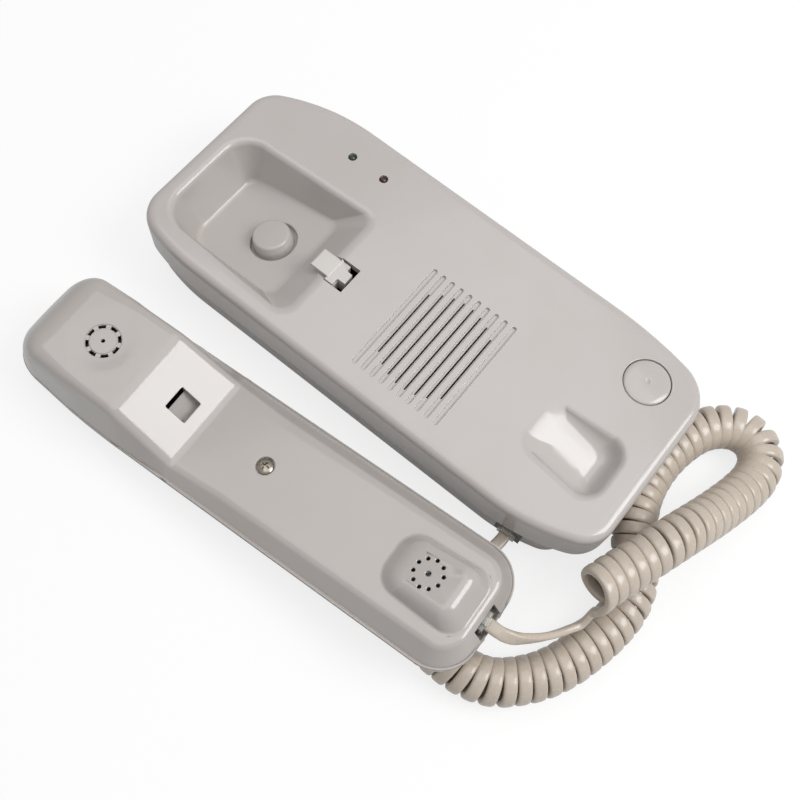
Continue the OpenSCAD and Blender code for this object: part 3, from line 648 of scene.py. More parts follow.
class Skin:
    """Collects grids and holed plates in millimetres, and welds them into one mesh."""

    def __init__(self) -> None:
        """Starts with nothing."""
        self.points: list[Array] = []
        self.faces: list[Array] = []
        self.count = 0

    def add(self, points: Array, faces: Array) -> None:
        """Adds faces, given by their points' numbers in points.

        Args:
            points: the points, in rows of three.
            faces: numbers in points, one row for each face.
        """
        self.points.append(points.reshape(-1, 3))
        self.faces.append(faces + self.count)
        self.count += len(self.points[-1])

    def grid(self, p: Array, closed: bool = True, keep: Array | None = None) -> "Skin":
        """A surface over two parameters: face (i, j) joins rows i and i + 1 and columns j and j + 1.

        Args:
            p: points, (rows, columns, 3).
            closed: whether the last column is joined to the first.
            keep: which faces are kept, (rows - 1, columns or columns - 1).

        Returns:
            This skin.
        """
        number = np.arange(p.shape[0] * p.shape[1]).reshape(p.shape[:2])
        if closed:
            number = np.concatenate([number, number[:, :1]], 1)
        quads = np.stack([number[:-1, :-1], number[:-1, 1:], number[1:, 1:], number[1:, :-1]], -1)
        self.add(p, quads[keep] if keep is not None else quads.reshape(-1, 4))
        return self

    def wall(self, rings: Sequence[Array], cuts: Sequence[float | Array] = (), steps: int = 6) -> "Skin":
        """The grid of turned_profile(), or straight from ring to ring if there are no cuts."""
        return self.grid(turned_profile(rings, cuts, steps) if cuts else np.array(rings))

    def plate(self, loops: Sequence[Array], lift: Move) -> "Skin":
        """A flat region between an outer loop and holes, cut into triangles.

        Args:
            loops: the outer loop and then the holes, flat.
            lift: turns flat points into points in space.

        Returns:
            This skin.
        """
        flat = np.concatenate(loops)
        edges, first = [], 0
        for loop in loops:
            n = np.arange(len(loop))
            edges += (np.stack([n, (n + 1) % len(loop)], 1) + first).tolist()
            first += len(loop)
        # straight runs are bowed a hair outwards for the cutting, so that it leaves no sliver along them
        d = flat - loops[0].mean(0)
        square = (d**2).sum(1, keepdims=True)
        bowed = flat + d * 0.001 * (1 - square / square.max())
        made = delaunay_2d_cdt([Vector(v) for v in bowed.tolist()], edges, [], 0, 1e-5)
        points = np.array([flat[kept[0]] if kept else tuple(v) for v, kept in zip(made[0], made[3])])
        faces = np.array(made[2])
        middle = points[faces].mean(1)
        keep = inside(middle, loops[0])
        for hole in loops[1:]:
            keep &= ~inside(middle, hole)
        self.add(lift(points), faces[keep])
        return self

    def fill(self, loop: Array) -> "Skin":
        """Closes a loop in space with one face fan about its middle.

        Args:
            loop: the loop.

        Returns:
            This skin.
        """
        n = np.arange(len(loop))
        points = np.concatenate([loop, loop.mean(0, keepdims=True)])
        self.add(points, np.stack([n, (n + 1) % len(loop), np.full(len(loop), len(loop))], 1))
        return self

    def join(self, other: "Skin") -> "Skin":
        """Takes in another skin's points and faces.

        Args:
            other: the other skin.

        Returns:
            This skin.
        """
        for points, faces in zip(other.points, other.faces):
            self.points.append(points)
            self.faces.append(faces + self.count)
        self.count += other.count
        return self

    def moved(self, change: Move) -> "Skin":
        """Puts every point through change."""
        self.points = [change(p) for p in self.points]
        return self

    def piece(self, name: str, sharp: float = SHARP, weld: float = 0.003) -> bpy.types.Object:
        """Makes the piece from all that was collected, by mesh_piece()."""
        faces = [face for part in self.faces for face in part.tolist()]
        return mesh_piece(name, np.concatenate(self.points), faces, sharp, weld)


def thicken(piece: bpy.types.Object, thickness: float) -> bpy.types.Object:
    """Gives an open skin its wall, inwards from its outer face, in millimetres.

    Args:
        piece: the skin's piece.
        thickness: the wall's.

    Returns:
        The piece.
    """
    wall = piece.modifiers.new("wall", "SOLIDIFY")
    wall.thickness = thickness * MM
    wall.offset = -1.0
    wall.use_even_offset = False
    return piece


def cut_out(piece: bpy.types.Object, tool: bpy.types.Object) -> None:
    """Takes a closed tool's space out of a piece for good, and removes the tool.

    Args:
        piece: the piece.
        tool: a closed piece.
    """
    cut = piece.modifiers.new("cut", "BOOLEAN")
    cut.operation, cut.solver, cut.object, cut.use_self = "DIFFERENCE", "EXACT", tool, True
    bpy.context.view_layer.update()
    mesh = bpy.data.meshes.new_from_object(piece.evaluated_get(bpy.context.evaluated_depsgraph_get()))
    piece.modifiers.clear()
    piece.data = mesh
    mesh.set_sharp_from_angle(angle=math.radians(SHARP))
    bpy.data.objects.remove(tool)


def steady(piece: bpy.types.Object) -> bpy.types.Object:
    """Lets the large flat faces lead the shading, so that flats look flat beside rounded edges.

    Args:
        piece: the piece.

    Returns:
        The piece.
    """
    lead = piece.modifiers.new("flats", "WEIGHTED_NORMAL")
    lead.keep_sharp = True
    lead.weight = 60
    return piece


def prism(profile: Array, low: float, high: float, axis: int = 0) -> Skin:
    """A flat profile carried along an axis from low to high, with both ends closed.

    Args:
        profile: a loop on the other two axes.
        low: where it begins.
        high: where it ends.
        axis: 0, 1 or 2 for X, Y or Z.

    Returns:
        The skin.
    """
    ends = [lambda p, value=value: np.insert(p, axis, value, axis=1) for value in (low, high)]
    skin = Skin().wall([end(profile) for end in ends])
    for end in ends:
        skin.plate([profile], end)
    return skin


def bevelled(piece: bpy.types.Object, width: float, segments: int) -> bpy.types.Object:
    """Rounds every edge of a piece that turns more than 35 degrees, by width millimetres.

    Args:
        piece: the piece.
        width: the rounding's.
        segments: its steps.

    Returns:
        The piece.
    """
    edge = piece.modifiers.new("edges", "BEVEL")
    edge.width = width * MM
    edge.segments = segments
    edge.limit_method = "ANGLE"
    edge.angle_limit = math.radians(35)
    edge.harden_normals = False
    return piece


def lathe(profile: Sequence[tuple[float, float]], cuts: Sequence[float], steps: int) -> Skin:
    """A profile of (radius, height) turned about Z, its inner corners rounded by cuts; ends on the axis close.

    Args:
        profile: its corners.
        cuts: one for each inner corner, as in turned_profile().
        steps: steps in a turn.

    Returns:
        The skin.
    """
    rings = stack(lambda r: ring((0, 0), max(r, 0.01), steps), profile)
    skin = Skin().wall(rings, cuts)
    for (r, _), end in zip((profile[0], profile[-1]), (rings[0], rings[-1])):
        if r < 0.5:
            skin.fill(end)
    return skin


def place(origin: Sequence[float], tilt: float = 0.0, yaw: float = 0.0) -> Move:
    """A move from a piece's own axes: tilt degrees about X, then yaw about Z, then to origin.

    Args:
        origin: where the piece's own origin goes.
        tilt: degrees about X.
        yaw: degrees about Z.

    Returns:
        The move.
    """
    turn = Matrix.Rotation(math.radians(yaw), 3, "Z") @ Matrix.Rotation(math.radians(tilt), 3, "X")
    m, o = np.array(turn), np.array(origin, float)
    return lambda p: p @ m.T + o


def settle(piece: bpy.types.Object, body: str, finish: Finish, nodes: Sequence[str] = ()) -> None:
    """Dresses a piece, rides it on its body and hides the CAD nodes that it stands for.

    Args:
        piece: the finished piece.
        body: the body that carries it.
        finish: its finish.
        nodes: CAD nodes that it replaces.
    """
    finish.dress(piece)
    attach(piece, body)
    if nodes:
        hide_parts(*nodes)
    log.info("%s on %s, %d faces", piece.name, body, len(piece.data.polygons))


# ------------------------------------------------------------------ base


@dataclass
class Base:
    """The base unit: its cover with the cradle, its back housing, its hook and its buttons."""

    half_width: float = 47.0
    half_length: float = 109.0
    corner: float = 14.0
    flank: float = 88.0
    skirt: float = 18.0
    rim: float = 4.2
    ear_slope: float = 12.9
    ear_low: tuple[float, float] = (49.1, 25.3)
    hook_button_y: float = 65.3
    hook_hole: float = 9.7
    grille_y: float = -16.0
    pitch: float = 4.23
    window: float = 21.5
    groove_floor: float = BASE_DEPTH - 1.0
    slit_half: float = 0.36
    slit_depth: float = 1.6
    wall: float = 1.0
    back: float = 2.5
    tray_end: float = 101.5
    call: tuple[float, float] = (27.3, -86.5)
    lamps: tuple[float, float] = (60.2, 44.2)
    lamp_x: float = 31.8
    cover_screws: tuple[tuple[float, float], ...] = ((-38, 26), (34, 82), (-36, -62), (38, -60))
    board_screws: tuple[tuple[float, float], ...] = ((-19, -88), (31, -44), (30, 16), (-19, 76))

    def outline(self, inset: float, low: float = 109.0) -> Array:
        """The base seen from the front, drawn in by inset: four corners, each a long arc and a short one.

        Args:
            inset: how far inside the cover's outline.
            low: distance of the lower end from the middle.

        Returns:
            The loop, anticlockwise.
        """
        half = self.half_width - inset

        def corner(start: float, big: float, short: float, end: float) -> Array:
            """A long arc of radius big from (half, start), then a short one on to the end line.

            Args:
                start: Y of the long arc's beginning.
                big: its radius.
                short: the short arc's radius.
                end: Y of the end line.

            Returns:
                The corner's points.
            """
            big, short = big - inset, short - inset
            rise = end - short - start
            run = math.sqrt((big - short) ** 2 - rise**2)
            turn = math.degrees(math.atan2(rise, run))
            long_arc = arc((half - big, start), big, 0, turn, 18)
            return np.concatenate([long_arc, arc((half - big + run, end - short), short, turn, 90, 14)[1:]])

        top, foot = self.half_length - inset, low - inset
        return np.concatenate([
            corner(62, self.flank - 3, self.corner, top),
            corner(76, self.flank, self.corner, top)[::-1] * (-1, 1),
            corner(66, self.flank, self.corner, foot) * (-1, -1),
            corner(60, self.flank * 2 - 6, self.corner + 4, foot)[::-1] * (1, -1),
        ])

    def on_floor(self, p: Array) -> Array:
        """From the recess floor's own axes, with the origin under the hook button, to the row's."""
        rise = self.ear_low[1] - (self.hook_button_y - self.ear_low[0]) * math.tan(math.radians(self.ear_slope))
        return place((CRADLE_X, self.hook_button_y, rise), -self.ear_slope)(p)

    def ear_recess(self, skin: Skin) -> Array:
        """Adds the earpiece recess: a sloping floor with a hole for the button, and walls up to the rim.

        Args:
            skin: the cover's skin.

        Returns:
            The loop that the recess takes out of the face.
        """
        rim = lambda grow: four_corners(27, 24.6, 35, 101, (12, 12, 6, 4.5), CRADLE_X, 14, grow=grow)
        floor = lambda grow: four_corners(20.7, 19.4, -17.4, 29.6, (4.5, 9.5, 4.5, 4.5), 0, 14, grow=grow)
        walls = stack(rim, ((2.5, BASE_DEPTH), (0.0, BASE_DEPTH)))
        skin.wall(walls + stack(floor, ((0.0, 0), (-2.6, 0)), self.on_floor), (2.4, 2.2), 9)
        hole = lambda r: ring((0.0, -0.4), r)
        edge = self.hook_hole + 0.6
        skin.wall(stack(hole, ((edge, 0), (self.hook_hole, 0), (self.hook_hole, -3.6)), self.on_floor), (0.5,), 4)
        skin.plate([floor(-2.6), hole(edge)], level(0, self.on_floor))
        return rim(2.5)

    def mouth_recess(self, skin: Skin) -> Array:
        """Adds the mouthpiece recess: its hollow floor is a ramp that falls away from the face beside the grille.

        Args:
            skin: the cover's skin.

        Returns:
            The loop that the recess takes out of the face.
        """
        rim = lambda grow: four_corners(13.6, 11.8, -97.2, -61.2, (7, 7, 8, 8), CRADLE_X, 14, grow=grow)
        floor, middle = four_corners(9.8, 9.8, -2.2, 25.8, (4.2, 4.2, 5.2, 5.2), 0, 14), np.array([0.0, 11.8])
        to_row = place((CRADLE_X, -91, 28.6), 16.7)
        soft = 2.6 + 2.4 * np.clip((6.0 - floor[:, 1]) / 7.0, 0, 1)
        # the floor is a shallow trough: at x from its middle line it lies 1.3 (1 - (x / 9.8)^2) deep
        bowl = lambda s: to_row(at_height(middle + s * (floor - middle), 1.3 * ((s * floor[:, 0] / 9.8) ** 2 - 1)))
        rings = [*stack(rim, ((2.3, BASE_DEPTH), (0.0, BASE_DEPTH))), bowl(1.0), bowl(0.5)]
        rows = [*turned_profile(rings, (2.2, soft), 9), *(bowl(s) for s in (0.4, 0.3, 0.2, 0.1))]
        skin.grid(np.array(rows)).fill(rows[-1])
        return rim(2.3)

    def grille(self, skin: Skin) -> list[Array]:
        """Adds the grooves, and the slits through the middle ones as far as a round window reaches.

        Args:
            skin: the cover's skin.

        Returns:
            The loops that the grooves take out of the face.
        """
        holes = []
        for i in range(10):
            rise = (i - 4.5) * self.pitch
            spot = (CRADLE_X, self.grille_y + rise)
            groove = lambda grow: stadium(spot, 25.3 + grow, 0.95 + grow)
            rings = stack(groove, ((0.3, BASE_DEPTH), (0, BASE_DEPTH), (0, self.groove_floor)))
            if abs(rise) < self.window - 4:
                slit = stadium(spot, math.sqrt(self.window**2 - rise**2), self.slit_half)
                rings += [at_height(slit, z) for z in (self.groove_floor, self.groove_floor - self.slit_depth)]
                skin.wall(rings, (0.2, 0.15, 0.05), 3)
            else:
                inner = stadium(spot, 24.9, 0.5)
                skin.wall([*rings, at_height(inner, self.groove_floor)], (0.2, 0.15), 3)
                skin.plate([inner], level(self.groove_floor))
            holes.append(groove(0.3))
        return holes

    def well(self, skin: Skin, edge: Callable[[float], Array], soft: float, depth: float) -> Array:
        """Adds a hole through the face with a rounded edge.

        Args:
            skin: the cover's skin.
            edge: gives the hole's loop, grown by its argument.
            soft: how far the rounding reaches.
            depth: how deep its wall shows.

        Returns:
            The loop that the hole takes out of the face.
        """
        wide = soft * 1.5
        skin.wall(stack(edge, ((wide, BASE_DEPTH), (0.0, BASE_DEPTH), (0.0, BASE_DEPTH - depth))), (soft,), 4)
        return edge(wide)

    def cover(self) -> None:
        """Makes the front cover."""
        skin, edge = Skin(), self.rim + 0.1
        walls = ((1.7, self.skirt + 0.1), (0, self.skirt), (0, BASE_DEPTH), (edge, BASE_DEPTH))
        skin.wall(stack(self.outline, walls), (0.5, self.rim), 10)
        holes = [self.ear_recess(skin), self.mouth_recess(skin), *self.grille(skin)]
        holes.append(self.well(skin, lambda g: ring(self.call, 9.4 + g, 72), 0.35, 3.0))
        for y in self.lamps:
            holes.append(self.well(skin, lambda g, y=y: ring((self.lamp_x, y), 1.8 + g, 32), 0.25, 2.4))
        skin.plate([self.outline(edge), *holes], level(BASE_DEPTH))
        piece = thicken(skin.piece("cover_shell"), self.wall)
        box = lambda half, y0, y1: four_corners(half, half, y0, y1, 0.2, CRADLE_X, 3)
        pocket = prism(box(6, 25.0, 33.8), 20.0, 39.0, 2).join(prism(box(5.6, 32.0, 37.6), 34.5, 39.0, 2))
        cut_out(piece, pocket.piece("pocket", weld=0.0005))
        settle(steady(piece), "base", Finish.COVER, ["front_cover"])
        self.hook_pocket()

    def hook_pocket(self) -> None:
        """Makes the walls of the retaining hook's pocket, and the ledge that its lip lies over."""
        box = lambda half, y0, y1: four_corners(half, half, y0, y1, 0.3, CRADLE_X, 3)
        skin = Skin()
        outer, inner = box(7.6, 23.6, 35.0), box(6.05, 24.95, 33.85)
        rows = ((outer, 32.4), (outer, 34.3), (inner, 34.3), (inner, 32.4), (outer, 32.4))
        skin.wall([at_height(loop, z) for loop, z in rows])
        ledge = np.array([(33.9, 30.0), (38.0, 30.0), (36.7, 34.45), (33.9, 34.45)])
        skin.join(prism(ledge, CRADLE_X - 7.0, CRADLE_X + 7.0))
        settle(skin.piece("hook_pocket_walls", 30, 0.0005), "base", Finish.COVER)

    def housing(self) -> None:
        """Makes the back housing: a tray with screw posts, board posts and its holes."""
        skin, top = Skin(), self.back
        outline = lambda inset: self.outline(inset, self.tray_end)
        walls = ((7, 0), (3, 0), (3, 21.8), (5, 21.8), (5, top), (8, top))
        skin.wall(stack(outline, walls), (1.4, 0.4, 0.4, 1.0), 5)
        under, over = [], []
        wall_hole = ((2.9, 0), (2.25, 0), (2.25, top), (2.7, top))
        post = ((3.9, 0), (3.3, 0), (3.3, 3.5), (1.7, 3.5), (1.7, 20), (4.2, 20), (4.2, top), (5.0, top))
        board_post = ((3.6, top), (3, top), (3, 6.5), (1.1, 6.5), (1.1, 3))
        for spots, levels, cuts in (
            ([(x, y) for x in (-30, 30) for y in (-28, 92)], wall_hole, (0.3, 0.2)),
            (self.cover_screws, post, (0.3, 0, 0, 0.2, 0.4, 0.6)),
        ):
            for spot in spots:
                rows = stack(lambda r: ring(spot, r, 32), levels)
                skin.wall(rows, cuts, 3)
                under.append(rows[0][:, :2])
                over.append(rows[-1][:, :2])
        for spot in self.board_screws:
            rows = stack(lambda r: ring(spot, r, 24), board_post)
            skin.wall(rows, (0.4, 0.3, 0), 3).fill(rows[-1])
            over.append(rows[0][:, :2])
        inlet = four_corners(6.5, 6.5, -10, 18, 1.5, -33.5, 5)
        skin.wall([at_height(inlet, z) for z in (0, top)])
        skin.plate([outline(7), inlet, *under], level(0)).plate([outline(8), inlet, *over], level(top))
        settle(steady(skin.piece("housing_tray")), "base", Finish.BACK, ["back_housing"])

    def hook_button(self) -> None:
        """Makes the flat-topped hook button with its flange and plunger, square to the recess floor."""
        profile = (
            (0, 4.4), (3.5, 4.35), (7.5, 4.05), (8.3, 0.6), (8.45, -2.3), (11.4, -2.3), (11.4, -3.8),
            (3, -3.8), (3, -8.6), (0, -8.6),
        )
        skin = lathe(profile, (1.5, 0.95, 0.8, 0.2, 0.3, 0.3, 0.3, 0.3), 96).moved(self.on_floor)
        settle(steady(skin.piece("hook_key")), "hook_button", Finish.COVER, ["hook_button"])

    def call_button(self) -> None:
        """Makes the round call button, slightly domed, with a small dimple in its middle."""
        profile = (
            (0, 36.12), (0.5, 36.14), (1.0, 36.55), (4.5, 36.5), (8.0, 36.15), (9.1, 35.7), (9.1, 33.5),
            (11.0, 33.4), (11.0, 31.8), (3, 31.8), (3, 16.4), (0, 16.4),
        )
        skin = lathe(profile, (0.2, 0.3, 1.5, 1.2, 0.5, 0.4, 0.3, 0.3, 0.5, 0.3), 96)
        skin.moved(place((*self.call, 0)))
        settle(steady(skin.piece("call_key", 50)), "call_button", Finish.COVER, ["call_button"])

    def lamp_lenses(self) -> None:
        """Makes both lamps: a domed lens on a collar, with two legs down to the board."""
        leg = four_corners(0.25, 0.25, -0.25, 0.25, 0.05, 0, 2)
        dome = tuple((1.5 * math.sin(a), 34.6 + 1.5 * math.cos(a)) for a in np.radians((0, 22, 45, 68, 90)))
        collar = ((1.5, 30.5), (1.9, 30.5), (1.9, 29.6), (0, 29.6))
        for name, y, finish in zip(("green", "red"), self.lamps, (Finish.GREEN, Finish.RED)):
            skin = lathe((*dome, *collar), (0.1, 0.1, 0.1, 0, 0.1, 0.1, 0.1), 32)
            for side in (-0.8, 0.8):
                rows = [at_height(leg + (side, 0), z) for z in (29.8, 8.1)]
                skin.wall(rows).fill(rows[1])
            piece = skin.moved(place((self.lamp_x, y, 0))).piece(f"{name}_lens")
            settle(piece, "base", finish, [f"{name}_lamp"])

    def hook(self) -> None:
        """Makes the retaining hook: a tab that tapers into a stem, and a lip over the recess."""
        tab = np.array([(-5.6, 33.5), (-5.6, 29.6), (-2.4, 29.6), (-2.4, 26.1), (2.4, 26.1), (2.6, 28.4),
                        (5.6, 33.5)]) + (CRADLE_X, 0)
        lip = np.array([(32.4, 34.8), (33.4, 34.8), (34.2, 35.2), (41.8, 35.2), (41.8, 36.3), (41.2, 36.9),
                        (33.6, 36.9), (32.4, 36.3)])
        skin = prism(tab, 34.4, BASE_DEPTH + 0.25, 2)
        root = np.array([(29.4, 28.8), (33.5, 28.8), (33.5, 34.6), (29.4, 34.6)])
        stem = np.array([(26.1, 28.8), (29.6, 28.8), (29.6, 34.6), (26.1, 34.5)])
        for profile, half in ((root, 5.6), (stem, 2.4), (lip, 4.3)):
            skin.join(prism(profile, CRADLE_X - half, CRADLE_X + half))
        piece = bevelled(skin.piece("retaining_hook", 30, 0.0005), 0.25, 3)
        settle(steady(piece), "handset_hook", Finish.HOOK, ["handset_hook"])

    def springs(self) -> None:
        """Makes the two wound springs.

        A spring's wire follows (r cos a, r sin a, z), with a from 0 to its turns; z rises evenly but for the
        first and last 6 % of the way, which lie flat.
        """
        lean = self.on_floor(np.array([[0, 0, 1.0], [0, 0, 0]]))
        wire, around = 0.5, np.radians(np.arange(8) * 45.0)
        for name, joint, move, axis, low, high, radius, turns, travel in (
            ("hook_button", "hook_button_press", self.on_floor, lean[0] - lean[1], -11.5, -3.8, 4.6, 3.8, 3.5),
            ("call_button", "call_button_press", place((*self.call, 0)), (0, 0, 1.0), 12.1, 31.9, 4.2, 10.5, 1.8),
        ):
            t = np.linspace(0, 1, int(turns * 28))
            a = 2 * np.pi * turns * t
            z = low + wire + (high - low - 2 * wire) * np.clip((t - 0.06) / 0.88, 0, 1)
            away = at_height(np.column_stack([np.cos(a), np.sin(a)]), 0)[:, None]
            rows = away * (radius + wire * np.cos(around))[None, :, None]
            rows = rows + (0, 0, 1) * (z[:, None] + wire * np.sin(around))[..., None]
            skin = Skin().grid(rows).fill(rows[0]).fill(rows[-1]).moved(move)
            piece = skin.piece(f"{name}_coil", 60)
            settle(piece, "base", Finish.SPRING, [f"{name}_spring"])
            foot = move(np.array([[0, 0, low]]))[0] * MM
            tuple(axis)
            1 - travel / (high - low)
            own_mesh(piece)

    def build(self) -> None:
        """Makes every piece of the base that is shown in a finer form."""
        self.cover()
        self.housing()
        self.hook_button()
        self.call_button()
        self.lamp_lenses()
        self.springs()
        self.hook()


# ------------------------------------------------------------------ handset


@dataclass
class Handset:
    """The handset in its own axes: X across, Y towards the earpiece, Z towards its face."""

    origin: Triple = (-86.4, 9.3, 6.893)
    tilt: float = 5.2
    yaw: float = 2.8
    half_width: float = 25.2
    half_length: float = 106.5
    seam: float = 12.0
    along: tuple[float, ...] = (-101.5, 22.0, 46.2, 88.0)
    heights: tuple[float, ...] = (22.0, 17.5, 34.0, 38.0)
    soft: tuple[float, float] = (1.6, 2.2)
    lip_width: float = 0.9
    jamb_share: float = 0.69
    bulge: float = 3.0
    wall: float = 1.6
    port_half: float = 6.1
    port_z: float = 14.6
    window_y: float = 31.0
    screw_y: float = -6.9
    ear_flank: float = 45.0
    ear_radius: float = 350.0
    ear_y: float = 66.5
    mic_y: float = -79.6

    @property
    def creases(self) -> tuple[float, ...]:
        """Where the slope begins and where it ends."""
        return self.along[1:3]

    def lay(self, p: Array) -> Array:
        """From the handset's own axes to the row's."""
        return place(self.origin, -self.tilt, self.yaw)(p)

    def rise(self, y: Array | float) -> Array:
        """Height of the face at y: straight from the mouth end to the slope, up it, and up the earpiece pad.

        Each crease is rounded: within its soft half-length s the height gains k (s - |y - crease|)^2 / 4s,
        where k is the change of slope there.

        Args:
            y: one place along the handset, or more.

        Returns:
            The height at each.
        """
        z = np.interp(y, self.along, self.heights)
        turns = np.diff(np.diff(self.heights) / np.diff(self.along))
        for crease, soft, turn in zip(self.creases, self.soft, turns):
            z = z + turn * np.maximum(soft - np.abs(y - crease), 0) ** 2 / (4 * soft)
        return z

    def slope(self, part: int) -> float:
        """Angle in radians of one straight part of the face: 0 the lower plane, 1 the slope, 2 the pad."""
        (y0, y1), (z0, z1) = self.along[part:part + 2], self.heights[part:part + 2]
        return math.atan2(z1 - z0, y1 - y0)

    def half_face(self, y: Array) -> Array:
        """Half of the face's width at y."""
        return np.interp(y, (-95, 0, 22, 46.2, 88), (18.2, 18.7, 20.0, 19.8, 19.4))

    def loops(self) -> tuple[Array, Callable[[float], Array]]:
        """The seam's loop and the face's, point for point.

        Returns:
            The seam's loop, and a function that gives the face's loop drawn in by a distance.
        """
        creases = [np.linspace(c - b, c + b, 9) for c, b in zip(self.creases, self.soft)]
        sides = np.concatenate([[-80, -60, -30, 0, 10, 16], creases[0], [28, 34, 40], creases[1], [54, 62, 70]])
        turn = np.radians(np.linspace(0, 90, 13))
        low_r, w, h = 15.0, self.half_width, self.half_length
        # the earpiece end: a long arc from the flank, then a short one on to the end
        big, small = self.ear_radius, 17.0
        run, up = math.sqrt((big - small) ** 2 - (h - small - self.ear_flank) ** 2), h - small - self.ear_flank
        middle = w - big + run
        far = np.linspace(math.atan2(up, run), math.pi / 2, 13)
        flank = w - big + np.sqrt(big**2 - np.maximum(sides - self.ear_flank, 0) ** 2)
        foot = np.array([0, 3, 6, w - low_r])
        x = np.concatenate([foot, w - low_r + low_r * np.sin(turn), flank, middle + small * np.cos(far),
                            middle * np.array([1, 0.66, 0.33, 0])])
        y = np.concatenate([np.full(4, -h), -h + low_r - low_r * np.cos(turn), sides,
                            h - small + small * np.sin(far), np.full(4, h)])

        def face(inset: float) -> Array:
            """The face's loop drawn in by inset, on the face.

            Args:
                inset: how far, in millimetres.

            Returns:
                The loop.
            """
            foot_r, top_r = 9.0, 6.5
            foot_half, top_half = 18.2, 19.4
            bottom, top = self.along[0], self.along[-1]
            fx = [np.array([0, 3, 6, foot_half - foot_r]), foot_half - foot_r + (foot_r - inset) * np.sin(turn),
                  self.half_face(sides) - inset, top_half - top_r + (top_r - inset) * np.cos(turn),
                  np.array([top_half - top_r, 8, 4, 0])]
            fy = [np.full(4, bottom + inset), bottom + foot_r - (foot_r - inset) * np.cos(turn), sides,
                  top - top_r + (top_r - inset) * np.sin(turn), np.full(4, top - inset)]
            return self.on_face(mirrored(np.concatenate(fx), np.concatenate(fy)))

        return mirrored(x, y), face

    def on_face(self, loop: Array) -> Array:
        """A flat loop lifted to the face."""
        return at_height(loop[:, :2], self.rise(loop[:, 1]))

    def part_of_face(self, loop: Array, low: float, high: float) -> Array:
        """The stretch of a face loop between two heights up the handset, as a flat loop."""
        flat = loop[:, :2]
        return flat[(flat[:, 1] >= low - 1e-6) & (flat[:, 1] <= high + 1e-6)]

    def on_pad(self, p: Array) -> Array:
        """From the earpiece pad's own axes, with the origin at the sound holes, to the handset's."""
        return place((0, self.ear_y, float(self.rise(self.ear_y))), math.degrees(self.slope(2)))(p)

    def on_slope(self, p: Array) -> Array:
        """From the slope's own axes, with the origin at the window's middle, to the handset's."""
        return place((0, self.window_y, float(self.rise(self.window_y))), math.degrees(self.slope(1)))(p)

    def earpiece(self, skin: Skin) -> Array:
        """Adds the dished earpiece with its ring of slots and middle hole.

        Args:
            skin: the front shell's skin.

        Returns:
            The loop that the dish takes out of the pad, flat.
        """
        radii = np.array([14.6, 14.2, 13.6, 12.9, 12.0, 11, 9.6, 8.2, 7.0])
        # the dish is a cosine dip: 0.36 deep in the middle, level at its edge
        depth = -0.18 * (1 + np.cos(np.pi * np.clip((radii - 6.0) / 8.6, 0, 1)))
        low = depth[-1]
        floor, bottom = low - 0.45, low - 2.2
        around = lambda r: ring((0, 0), r, 72)
        groove = ((7.0, low), (6.9, low - 0.1), (6.85, low - 0.4), (6.7, floor))
        core = ((5.2, floor), (5.1, low - 0.4), (5.0, low - 0.05), (4.85, low))
        for levels in (zip(radii, depth), groove, core):
            skin.wall(stack(around, levels, self.on_pad))
        slots = [np.concatenate([arc((0, 0), 6.62, middle - 14, middle + 14, 8),
                                 arc((0, 0), 5.3, middle + 13, middle - 13, 8)]) for middle in range(0, 360, 45)]
        for edges, holes, top in (
            ([around(6.7), around(5.2)], slots, floor), ([around(4.85)], [ring((0, 0), 0.8, 24)], low),
        ):
            for hole in holes:
                skin.wall([level(z, self.on_pad)(hole) for z in (top, bottom)])
            skin.plate([*edges, *holes], level(top, self.on_pad))
        return around(radii[0]) * (1, math.cos(self.slope(2))) + (0, self.ear_y)

    def mouthpiece(self, skin: Skin) -> Array:
        """Adds the raised mouthpiece pad with its ring of sound holes.

        Args:
            skin: the front shell's skin.

        Returns:
            The loop that the pad takes out of the face, flat.
        """
        def base(grow: float) -> Array:
            """The pad's foot, grown, on the face."""
            return self.on_face(four_corners(13.0, 12.2, -99.5, -64.5, (8.5, 8.5, 7, 7), 0, 14, grow=grow))

        to_hand = place((0, self.mic_y, self.heights[0] + 4.6), -11.0)
        top = lambda grow: four_corners(9.8, 9.2, -14.0, 10.0, 5.0, 0, 14, grow=grow)
        rings = [base(0.9), base(0.0), *stack(top, ((0.0, 0), (-3.0, 0)), to_hand)]
        # the pad's edge is rounder towards the mouth end
        skin.wall(rings, (0.8, 2.8 + 3.2 * np.clip((-4.0 - top(0.0)[:, 1]) / 8.0, 0, 1)), 8)
        holes = []
        spots = [(5.5 * math.cos(a), 5.5 * math.sin(a), 0.78) for a in np.radians(np.arange(10) * 36.0)]
        for x, y, r in [*spots, (0, 0, 1.05)]:
            hole = lambda radius: ring((x, y), radius, 20)
            skin.wall(stack(hole, ((r + 0.2, 0), (r, -0.15), (r, -2.4)), to_hand))
            holes.append(hole(r + 0.2))
        skin.plate([top(-3.0), *holes], level(0, to_hand))
        return base(0.9)[:, :2]

    def lip(self, seam: Array, z: float) -> Array:
        """The inner edge that a shell turns in at the seam."""
        return at_height(seam * (1 - self.lip_width / np.abs(seam).max(0)), z)

    def side_wall(self, skin: Skin) -> Array:
        """Adds the front shell's side wall, with the opening over the jack in its lower end.

        Args:
            skin: the front shell's skin.

        Returns:
            The loop inside the wall's rounded edge, on the face.
        """
        seam, face = self.loops()
        foot = at_height(seam, self.seam)
        edge, inner = face(0.0), face(3.5)
